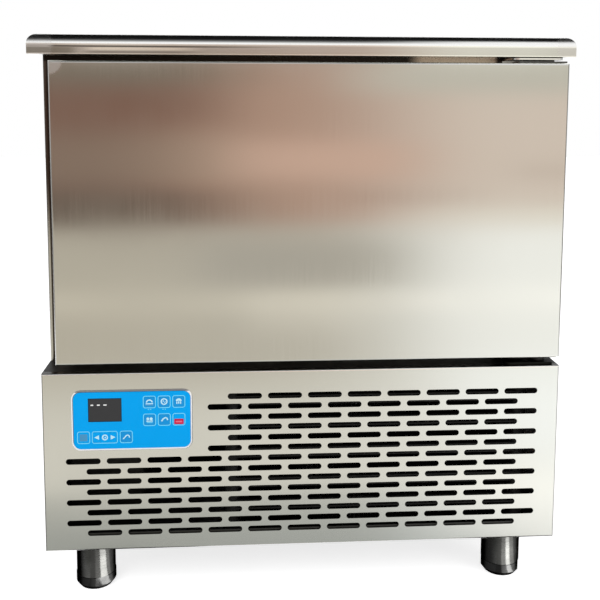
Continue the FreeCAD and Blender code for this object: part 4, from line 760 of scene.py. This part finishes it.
def makeOverlayPrint(style):
    middle = boxMiddle("control_overlay")
    size, corner = style["ring"], style["corner"]
    line = size - style["hole"]
    marks = []

    def fromMiddle(node):
        x, z = boxMiddle(node)
        return (x - middle[0]) / mm, (z - middle[1]) / mm

    def addRing(x, z, wide):
        hole = roundLoop(wide - line, size - line, corner - line / 2, x, z)
        marks.append(("printCyan", [roundLoop(wide, size, corner, x, z), hole]))

    for node in keyMarks:
        if node not in style["arrows"]:
            addRing(*fromMiddle(node), size)
    for node in style["dots"]:
        x, z = fromMiddle(node)
        for side in (-style["dotSide"], style["dotSide"]):
            marks.append(("printCyan", [discLoop(x + side, z - style["dotDrop"], style["dotRadius"])]))
    (leftX, rowZ), (rightX, _) = (fromMiddle(node) for node in style["arrows"])
    pairX = (leftX + rightX) / 2
    addRing(pairX, rowZ, rightX - leftX + size - style["pairTrim"])
    for discs in style["dial"]:
        marks.append(("printWhite", [discLoop(pairX + x, rowZ + z, radius) for x, z, radius in discs]))
    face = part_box("control_overlay")[0][1]
    attach(makePrint("overlayPrint", marks, middle, face), "cabinet", "control_blue")


displayMarks = {
    "line": 0.9,
    "corners": (0.4, 0.2),
    "dashes": ((5.8, 4.2), (15.4, 4.6), (25.2, 5.0)),  # middle from the display's left edge, and length
    "dashDrop": 10.2,
    "dashHeight": 1.9,
    "dashCorner": 0.7,
}


def makeDisplayPrint(style):
    low, high = boxCorners("display_window")
    wide, tall = (high.x - low.x) / mm, (high.z - low.z) / mm
    line = style["line"]
    outer, inner = style["corners"]
    hole = roundLoop(wide - 2 * line, tall - 2 * line, inner)
    marks = [("displayEdge", [roundLoop(wide, tall, outer), hole])]
    for middleX, length in style["dashes"]:
        spot = (middleX - wide / 2, tall / 2 - style["dashDrop"])
        marks.append(("displayMark", [roundLoop(length, style["dashHeight"], style["dashCorner"], *spot)]))
    attach(makePrint("displayPrint", marks, boxMiddle("display_window"), low.y), "cabinet", "display_dark")


makeKeyPrints()
makeOverlayPrint(overlayMarks)
makeDisplayPrint(displayMarks)
print("prints cut:", len(keyMarks) + 2)


# half-round rim of the control panel

controlRim = {"width": 3.0, "height": 2.0, "corner": 14.0, "steps": 8, "sharpFrom": 50}  # degrees


def makeControlRim(rim):
    low, high = boxCorners("control_bezel")
    wide, tall = (high.x - low.x) / mm, (high.z - low.z) / mm
    x, z = boxMiddle("control_bezel")
    shape = bmesh.new()
    rows = []
    for step in range(rim["steps"] + 1):
        angle = math.pi * step / rim["steps"]
        inset = rim["width"] / 2 * (1 - math.cos(angle))
        level = high.y - rim["height"] * mm * math.sin(angle)
        loop = roundLoop(wide - 2 * inset, tall - 2 * inset, rim["corner"] - inset)
        rows.append([shape.verts.new((x + a * mm, level, z + b * mm)) for a, b in loop])
    rows.append(rows[0])
    for outer, inner in zip(rows, rows[1:]):
        joinRows(shape, outer, inner)
    piece = finishMesh("controlRim", shape, ["controlRim"], smooth=True)
    piece.data.set_sharp_from_angle(angle=math.radians(rim["sharpFrom"]))
    attach(piece, "cabinet", "control_rim", "control_bezel")


makeControlRim(controlRim)


# folded door seal with mitred corners

doorSeal = {
    "profile": (
        (0, 0), (0, 2.2), (1.2, 3.4), (4.0, 3.6), (5.4, 4.6), (4.6, 6.2), (5.8, 7.4),
        (4.2, 9.2), (4.2, 12.6), (5.3, 13.6), (15.7, 13.6), (16.8, 12.6), (16.8, 9.2),
        (15.2, 7.4), (16.4, 6.2), (15.6, 4.6), (17.0, 3.6), (19.8, 3.4), (21.0, 2.2), (21.0, 0),
    ),
}


def makeDoorSeal(seal):
    low, high = boxCorners("door_gasket")
    shape = bmesh.new()
    rows = []
    for across, out in seal["profile"]:
        inset = across * mm
        level = low.y + out * mm
        left, right, bottom, top = low.x + inset, high.x - inset, low.z + inset, high.z - inset
        corners = ((left, bottom), (right, bottom), (right, top), (left, top))
        rows.append([shape.verts.new((x, level, z)) for x, z in corners])
    for here, there in zip(rows, rows[1:] + rows[:1]):
        joinRows(shape, here, there)
    attach(finishMesh("doorSeal", shape, ["sealRubber"]), "door", "seal_rubber", "door_gasket")


makeDoorSeal(doorSeal)


# corrugated fins between the flat tubes of the condenser

condenserFins = {
    "first": 111.8,
    "pitch": 12.0,
    "height": 9.3,
    "gaps": 19,
    "fold": 3.4,
    "margin": 24.0,
    "middle": -318.0,
    "depth": 17.0,
    "sheet": 0.25,
}


def makeCondenserFins(fins):
    low, high = boxCorners("condenser")
    left, right = low.x + fins["margin"] * mm, high.x - fins["margin"] * mm
    middle = fins["middle"] * mm
    half = fins["depth"] * mm / 2
    count = int((right - left) / (fins["fold"] * mm))
    shape = bmesh.new()
    for gap in range(fins["gaps"]):
        bottom = (fins["first"] + fins["pitch"] * gap) * mm
        last = None
        for step in range(count + 1):
            x = left + step * fins["fold"] * mm
            z = bottom + (fins["height"] * mm if step % 2 else 0)
            pair = [shape.verts.new((x, y, z)) for y in (middle - half, middle + half)]
            if last:
                shape.faces.new((last[0], pair[0], pair[1], last[1]))
            last = pair
    bmesh.ops.solidify(shape, geom=shape.faces[:], thickness=fins["sheet"] * mm)
    attach(finishMesh("condenserFins", shape, ["condenserBlack"]), "cabinet", "coil_aluminium")


makeCondenserFins(condenserFins)


# cross-recess heads for the casing screws, one on each head of the solids

screwHead = {
    "rings": ((4.0, 0.0), (4.0, 0.5), (3.8, 0.95), (3.3, 1.35), (2.7, 1.6)),
    "top": 1.72,
    "flat": 2.3,
    "arm": 1.7,
    "thick": 0.42,
    "deep": 0.9,
    "sides": 24,
    "weld": 1e-6,
}


def islandBoxes(node, weld):
    shape = bmesh.new()
    shape.from_mesh(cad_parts[node].data)
    bmesh.ops.remove_doubles(shape, verts=shape.verts, dist=weld)
    left = set(shape.verts)
    boxes = []
    while left:
        waiting = [left.pop()]
        island = []
        while waiting:
            vertex = waiting.pop()
            island.append(vertex.co.copy())
            for edge in vertex.link_edges:
                other = edge.other_vert(vertex)
                if other in left:
                    left.remove(other)
                    waiting.append(other)
        low = Vector([min(spot[axis] for spot in island) for axis in range(3)])
        high = Vector([max(spot[axis] for spot in island) for axis in range(3)])
        boxes.append((low, high))
    shape.free()
    return boxes


def makeScrews(head):
    shape = bmesh.new()
    sides = head["sides"]
    thick, arm = head["thick"], head["arm"]
    cross = [(arm, -thick), (arm, thick), (thick, thick), (thick, arm), (-thick, arm), (-thick, thick),
             (-arm, thick), (-arm, -thick), (-thick, -thick), (-thick, -arm), (thick, -arm), (thick, -thick)]
    flat = discLoop(0, 0, head["flat"], sides)
    upward = Vector((0, 0, 1))
    for low, high in islandBoxes("casing_screws", head["weld"]):
        size = high - low
        axis = min(range(3), key=lambda index: size[index])
        middle = (low + high) / 2
        way = Vector((0, 0, 0))
        way[axis] = 1.0 if middle[axis] > 0 else -1.0
        foot = middle.copy()
        foot[axis] = low[axis] if way[axis] > 0 else high[axis]
        across = upward.cross(way)

        def spot(point, level):
            offset = across * point[0] + upward * point[1] + way * level
            return shape.verts.new(foot + offset * mm)

        rows = []
        for radius, level in head["rings"]:
            rows.append([spot(point, level) for point in discLoop(0, 0, radius, sides)])
        rows.append([spot(point, head["top"]) for point in flat])
        for lower, upper in zip(rows, rows[1:]):
            joinRows(shape, lower, upper)
        rim = [spot(point, head["top"]) for point in cross]
        pit = [spot(point, head["top"] - head["deep"]) for point in cross]
        joinRows(shape, rim, pit)
        around = rows[-1] + rim
        loops = [[Vector((x, z, 0)) for x, z in loop] for loop in (flat, cross)]
        for corners in tessellate_polygon(loops):
            shape.faces.new([around[corner] for corner in corners])
        for corners in tessellate_polygon(loops[1:]):
            shape.faces.new([pit[corner] for corner in corners])
        shape.faces.new(rows[0])
    attach(finishMesh("casingScrews", shape, ["screwSteel"]), "cabinet", "hinge_steel", "casing_screws")


makeScrews(screwHead)


# fan guard of round wire: rings in front, bent spokes behind

wireGuard = {
    "rings": 5,
    "pitch": 23.0,
    "wire": 3.0,
    "steps": 64,
    "bar": 2.4,
    "spokes": 6,
    "bend": ((3.0, 0.0), (1.0, 1.0), (0.0, 2.4)),  # in from the outer ring, and towards the baffle
}


def sweepTube(shape, spots, radius, sides=8, closed=False):
    rows = []
    count = len(spots)
    for index, here in enumerate(spots):
        before = spots[(index - 1) % count] if closed or index else here
        after = spots[(index + 1) % count] if closed or index < count - 1 else here
        along = (after - before).normalized()
        side = along.cross(Vector((0, 1, 0)))
        if side.length < 0.05:  # the tube runs straight to the back
            side = along.cross(Vector((0, 0, 1)))
        side.normalize()
        up = side.cross(along)
        angles = [2 * math.pi * step / sides for step in range(sides)]
        ways = [side * math.cos(angle) + up * math.sin(angle) for angle in angles]
        rows.append([shape.verts.new(here + way * radius) for way in ways])
    for one, two in zip(rows, rows[1:] + rows[:1] if closed else rows[1:]):
        joinRows(shape, one, two)
    if not closed:
        shape.faces.new(rows[0])
        shape.faces.new(rows[-1])


def makeWireGuard(guard):
    low, high = boxCorners("fan_guard")
    centre = (low + high) / 2
    shape = bmesh.new()
    wire = guard["wire"] * mm
    for ring in range(1, guard["rings"] + 1):
        radius = guard["pitch"] * ring * mm + wire / 2
        spots = []
        for step in range(guard["steps"]):
            angle = 2 * math.pi * step / guard["steps"]
            flat = Vector((math.cos(angle), 0, math.sin(angle))) * radius
            spots.append(Vector((centre.x, low.y + wire / 2, centre.z)) + flat)
        sweepTube(shape, spots, wire / 2, closed=True)
    bar = guard["bar"] * mm / 2
    inner = guard["pitch"] * mm
    outer = guard["pitch"] * guard["rings"] * mm + wire / 2
    for spoke in range(guard["spokes"]):
        angle = 2 * math.pi * spoke / guard["spokes"]
        way = Vector((math.cos(angle), 0, math.sin(angle)))
        level = low.y + wire + bar
        path = [(outer - back * mm, level + drop * mm) for back, drop in guard["bend"]]
        path = [(inner, level)] + path + [(outer, high.y)]
        sweepTube(shape, [Vector((centre.x, y, centre.z)) + way * radius for radius, y in path], bar)
    piece = finishMesh("wireGuard", shape, ["hingeSteel"], smooth=True)
    attach(piece, "cabinet", "hinge_steel", "fan_guard")


makeWireGuard(wireGuard)


# studio: white world, pale floor, two soft lamps, and cards for the steel to mirror

studioLight = {
    "fill": 0.53,
    "fillTint": (1.0, 1.0, 1.02),
    "target": (0, -0.2, 0.5),
    "lamps": {
        "keyLamp": {"spot": (-1.5, -2.6, 2.7), "size": 2.4, "power": 48},
        "sideLamp": {"spot": (2.4, -2.0, 1.6), "size": 1.6, "power": 20},
    },
}


def seenByEye(tree):
    path = addNode(tree, "LightPath").outputs
    seen = calculate(tree, "MAXIMUM", path["Is Camera Ray"], path["Is Glossy Ray"])
    return calculate(tree, "MAXIMUM", seen, path["Is Transmission Ray"])


def makeWorld(light):
    world = bpy.data.worlds.new("studioWorld")
    scene.world = world
    world.use_nodes = True
    tree = world.node_tree
    colour = blendColours(tree, seenByEye(tree), rgba(light["fillTint"], light["fill"]), (1, 1, 1, 1))
    feed(tree, tree.nodes["Background"], Color=colour, Strength=1.0)


def makeLamps(light):
    for name, values in light["lamps"].items():
        lamp = bpy.data.lights.new(name, "AREA")
        lamp.shape = "DISK"
        lamp.size = values["size"]
        lamp.energy = values["power"]
        holder = bpy.data.objects.new(name, lamp)
        holder.location = values["spot"]
        way = Vector(light["target"]) - Vector(values["spot"])
        holder.rotation_euler = way.to_track_quat("-Z", "Y").to_euler()
        holder.visible_glossy = False
        holder.visible_camera = False
        scene.collection.objects.link(holder)


def addMesh(name, spots, faces, finish):
    mesh = bpy.data.meshes.new(name)
    mesh.from_pydata(spots, [], faces)
    mesh.validate()
    mesh.update()
    mesh.materials.append(materials[finish])
    piece = bpy.data.objects.new(name, mesh)
    scene.collection.objects.link(piece)
    return piece


def hideFromEye(card):
    card.visible_camera = False
    card.visible_diffuse = False
    card.visible_shadow = False
    card.visible_transmission = False


def cloudTone(tree, values):
    speckle = placeGroup(tree, mouldSpeckle, Scale=values["speckle"])
    return blendColours(tree, speckle.outputs["Cloud"], rgba(values["low"]), rgba(values["high"]))


def showSurface(material, node):
    tree = material.node_tree
    tree.links.new(node.outputs[0], tree.nodes["Material Output"].inputs["Surface"])
    materials[material.name] = material


def glowOnly(material, **inputs):
    tree = material.node_tree
    showSurface(material, feed(tree, addNode(tree, "Emission"), **inputs))


paleFloor = {
    "half": 9.0,
    "speckle": 60.0,
    "low": (0.86, 0.86, 0.86),
    "high": (0.9, 0.9, 0.9),
    "rough": 0.9,
    "lift": 0.72,
}


def makeFloor(floor):
    material, tree, shader = newMaterial("paleFloor")
    feed(tree, shader, Base_Color=cloudTone(tree, floor), Roughness=floor["rough"])
    strength = calculate(tree, "MULTIPLY", seenByEye(tree), floor["lift"])
    lift = feed(tree, addNode(tree, "Emission"), Strength=strength)
    both = addNode(tree, "AddShader")
    tree.links.new(shader.outputs[0], both.inputs[0])
    tree.links.new(lift.outputs[0], both.inputs[1])
    showSurface(material, both)
    half = floor["half"]
    spots = [(-half, -half, 0), (half, -half, 0), (half, half, 0), (-half, half, 0)]
    addMesh("floor", spots, [(0, 1, 2, 3)], "paleFloor")


# card in front that only reflections see: a floor bent up into a wall, a dim room above, a strip of sky

mirrorCard = {
    "wall": -1.25,
    "near": -0.36,
    "foot": 0.004,
    "bend": 0.22,
    "bendSteps": 8,
    "top": 1.9,
    "half": 2.4,
    "gain": 1.4,
    "wallTones": ((-0.50, (0.48, 0.445, 0.36)), (0.05, (0.50, 0.47, 0.39)), (0.62, (0.93, 0.94, 0.88))),
    "roomTones": ((-0.45, (0.205, 0.125, 0.092)), (0.02, (0.44, 0.29, 0.215)), (0.58, (0.67, 0.575, 0.485))),
    "roomFrom": (0.42, 0.475),
    "skyStrip": (0.92, 0.99),
    "skyTone": (0.72, 0.72, 0.72),
}


# soft-edged patches on the card, laid over it as a tone or added to it as a lift:
# where each starts, is full, is last full and ends, across and up, and its colour

cardPatches = {
    "shelf": ("tone", (-3, -2.9, -0.45, 0.12), (0.438, 0.452, 0.53, 0.542), (0.13, 0.098, 0.075)),
    "glow": ("tone", (-0.2, 0.0, 0.2, 0.5), (0.54, 0.59, 0.63, 0.69), (0.62, 0.42, 0.32)),
    "wedge": ("tone", (-0.3, -0.12, 0.16, 0.48), (0.275, 0.30, 0.36, 0.46), (0.41, 0.385, 0.325)),
    "warm": ("tone", (-3, -2.9, -0.32, -0.02), (0.68, 0.73, 0.78, 0.82), (0.20, 0.108, 0.076)),
    "edge": ("tone", (-3, -2.9, 0.0, 0.4), (0.855, 0.87, 1.5, 1.6), (0.40, 0.325, 0.265)),
    "pale": ("tone", (0.25, 0.5, 2.9, 3), (0.855, 0.87, 1.5, 1.6), (0.77, 0.77, 0.67)),
    "edgeDark": ("lift", (-3, -2.9, -0.56, -0.5), (0.855, 0.87, 1.5, 1.6), (-0.13, -0.115, -0.10)),
    "edgePale": ("lift", (-0.54, -0.49, -0.36, -0.24), (0.855, 0.87, 1.5, 1.6), (0.12, 0.12, 0.11)),
    "edgeEnd": ("lift", (0.70, 0.72, 2.9, 3), (0.855, 0.87, 1.5, 1.6), (-0.18, -0.18, -0.17)),
    "lintel": ("tone", (-3, -2.9, -0.35, 0.1), (0.785, 0.82, 0.855, 0.865), (0.17, 0.15, 0.112)),
    "lintelRight": ("tone", (0.05, 0.35, 2.9, 3), (0.76, 0.81, 0.855, 0.865), (0.53, 0.515, 0.435)),
    "step": ("tone", (0.2, 0.6, 2.9, 3), (0.43, 0.46, 0.475, 0.50), (0.80, 0.76, 0.65)),
    "greyLeft": ("lift", (-3, -2.9, -0.2, 0.0), (0.545, 0.57, 0.65, 0.70), (0.038, 0.05, 0.038)),
    "shelfRight": ("lift", (0.1, 0.25, 0.45, 0.6), (0.495, 0.51, 0.525, 0.54), (-0.09, -0.085, -0.075)),
    "dip": ("lift", (0.58, 0.66, 2.9, 3), (0.56, 0.575, 0.59, 0.605), (-0.14, -0.13, -0.12)),
    "barMiddle": ("lift", (-0.12, -0.02, 0.14, 0.3), (0.13, 0.20, 0.26, 0.29), (0.10, 0.095, 0.085)),
    "bar": ("lift", (-3, -2.9, 2.9, 3), (0.20, 0.24, 0.26, 0.29), (0.12, 0.11, 0.09)),
    "panelGlow": ("lift", (-3, -2.9, 0.12, 0.5), (-0.57, -0.52, -0.15, 0.06), (0.185, 0.20, 0.205)),
    "panelCool": ("lift", (-3, -2.9, 0.2, 0.5), (-0.9, -0.89, -0.57, -0.52), (-0.01, 0.025, 0.06)),
    "sheenRight": ("lift", (0.1, 0.4, 2.9, 3), (-0.85, -0.72, -0.56, -0.4), (0.20, 0.195, 0.19)),
    "sheenUpper": ("lift", (0.3, 0.55, 2.9, 3), (-0.5, -0.35, -0.05, 0.1), (0.09, 0.11, 0.14)),
    "front": ("lift", (-3, -2.9, 2.9, 3), (-0.9, -0.89, -0.75, -0.55), (-0.12, -0.11, -0.09)),
}


def bandRamp(tree, factor, bands):
    low, high = bands[0][0], bands[-1][0]
    ramp = addNode(tree, "ValToRGB")
    ramp.color_ramp.interpolation = "EASE"
    stops = ramp.color_ramp.elements
    while len(stops) < len(bands):
        stops.new(0.5)
    for stop, (spot, tone) in zip(stops, bands):
        stop.position = (spot - low) / (high - low)
        stop.color = rgba(tone)
    scaled = calculate(tree, "DIVIDE", calculate(tree, "SUBTRACT", factor, low), high - low)
    tree.links.new(scaled, ramp.inputs[0])
    return ramp.outputs[0]


def cardProfile(card):
    wall, bend, foot = card["wall"], card["bend"], card["foot"]
    profile = [(card["near"], foot), (wall + bend, foot)]
    for step in range(1, card["bendSteps"]):
        angle = math.radians(90 * step / card["bendSteps"])
        profile.append((wall + bend - bend * math.sin(angle), foot + bend - bend * math.cos(angle)))
    return profile + [(wall, foot + bend), (wall, card["top"])]


def liftTone(tree, tone, mask, lift):
    share = feed(tree, addNode(tree, "VectorMath", operation="SCALE"), Scale=mask)
    plug(tree, share.inputs[0], lift)
    total = addNode(tree, "VectorMath", operation="ADD")
    plug(tree, total.inputs[0], tone)
    plug(tree, total.inputs[1], share.outputs[0])
    return total.outputs[0]


def makeMirrorCard(card):
    material, tree, _ = newMaterial("mirrorCard")
    x, y, z = surfaceParts(tree)
    along = calculate(tree, "SUBTRACT", z, calculate(tree, "SUBTRACT", y, card["wall"]))
    room = riseMask(tree, along, card["roomFrom"])
    wallTone, roomTone = (bandRamp(tree, x, card[name]) for name in ("wallTones", "roomTones"))
    tone = blendColours(tree, room, wallTone, roomTone)
    for kind, across, up, colour in cardPatches.values():
        mask = areaMask(tree, x, across, along, up)
        if kind == "tone":
            tone = blendColours(tree, mask, tone, rgba(colour))
        else:
            tone = liftTone(tree, tone, mask, colour)
    tone = blendColours(tree, riseMask(tree, z, card["skyStrip"]), tone, rgba(card["skyTone"]))
    glowOnly(material, Color=tone, Strength=card["gain"])
    profile = cardProfile(card)
    spots = []
    for depth, height in profile:
        spots += [(-card["half"], depth, height), (card["half"], depth, height)]
    faces = [(2 * row, 2 * row + 1, 2 * row + 3, 2 * row + 2) for row in range(len(profile) - 1)]
    hideFromEye(addMesh("mirrorCard", spots, faces, "mirrorCard"))


# dark flag over the front: the worktop's nose mirrors it, from light at its front to dark

blackFlag = {
    "half": 0.7,
    "front": -1.24,
    "back": 0.0,
    "level": 1.15,
    "leftFade": (-1.24, -0.46),
    "rightFade": (-0.62, -0.43),
    "turn": (0.12, 0.42),  # where across the left fade gives way to the right one
    "light": 0.95,
    "dark": 0.006,
}


def makeBlackFlag(flag):
    material, tree, _ = newMaterial("blackFlag")
    x, y, _ = surfaceParts(tree)
    left = stretchRange(tree, y, *flag["leftFade"], flag["light"], flag["dark"])
    right = stretchRange(tree, y, *flag["rightFade"], flag["light"], flag["dark"])
    change = calculate(tree, "SUBTRACT", right, left)
    change = calculate(tree, "MULTIPLY", riseMask(tree, x, flag["turn"]), change)
    glowOnly(material, Strength=calculate(tree, "ADD", left, change))
    half, front, back, level = (flag[name] for name in ("half", "front", "back", "level"))
    spots = [(-half, front, level), (half, front, level), (half, back, level), (-half, back, level)]
    hideFromEye(addMesh("blackFlag", spots, [(0, 1, 2, 3)], "blackFlag"))


# wedges of light on the floor that the legs mirror: from and to, in degrees right of ahead, and strength

legGlints = {
    "reach": (0.033, 0.185),
    "level": 0.005,
    "speckle": 40.0,
    "low": (0.8, 0.8, 0.78),
    "high": (1.0, 1.0, 0.98),
    "legs": {"left": (-0.3295, -0.286), "right": (0.3295, -0.286)},
    "fans": {
        "left": ((-20, 4, 0.8), (4, 28, 2.0), (28, 60, 13.0), (60, 80, 3.0)),
        "right": ((-30, -8, 1.0), (-8, 14, 3.5), (14, 34, 15.0), (34, 60, 4.0)),
    },
}


def makeLegGlints(glints):
    legs = bpy.data.collections.new("legs")
    for node in nodeFinish["legSteel"] + nodeFinish["footSteel"]:
        legs.objects.link(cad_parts[node])
    for side, (legX, legY) in glints["legs"].items():
        for start, end, strength in glints["fans"][side]:
            name = f"legGlint_{side}_{start}"
            material, tree, _ = newMaterial(name)
            glowOnly(material, Color=cloudTone(tree, glints), Strength=strength)
            spots = []
            for angle in (math.radians(start), math.radians(end)):
                for reach in glints["reach"]:
                    spot = (legX + math.sin(angle) * reach, legY - math.cos(angle) * reach, glints["level"])
                    spots.append(spot)
            piece = addMesh(name, spots, [(0, 1, 3, 2)], name)
            piece.light_linking.receiver_collection = legs
            hideFromEye(piece)


# cards at both sides, grey near the floor and white above, for the side panels to mirror

sideCards = {
    "away": 1.9,
    "front": -1.25,
    "back": 3.2,
    "foot": 0.01,
    "top": 2.2,
    "rise": (0.0, 1.76),
    "low": (0.36, 0.355, 0.34),
    "high": (0.95, 0.95, 0.94),
}


def makeSideCards(cards):
    material, tree, _ = newMaterial("sideCard")
    rise = riseMask(tree, surfaceParts(tree)[2], cards["rise"])
    glowOnly(material, Color=blendColours(tree, rise, rgba(cards["low"]), rgba(cards["high"])), Strength=1.0)
    front, back, foot, top = (cards[name] for name in ("front", "back", "foot", "top"))
    for x in (-cards["away"], cards["away"]):
        spots = [(x, front, foot), (x, back, foot), (x, back, top), (x, front, top)]
        hideFromEye(addMesh("sideCard", spots, [(0, 1, 2, 3)], "sideCard"))


makeWorld(studioLight)
makeLamps(studioLight)
makeFloor(paleFloor)
makeMirrorCard(mirrorCard)
makeBlackFlag(blackFlag)
makeLegGlints(legGlints)
makeSideCards(sideCards)
print("studio set")
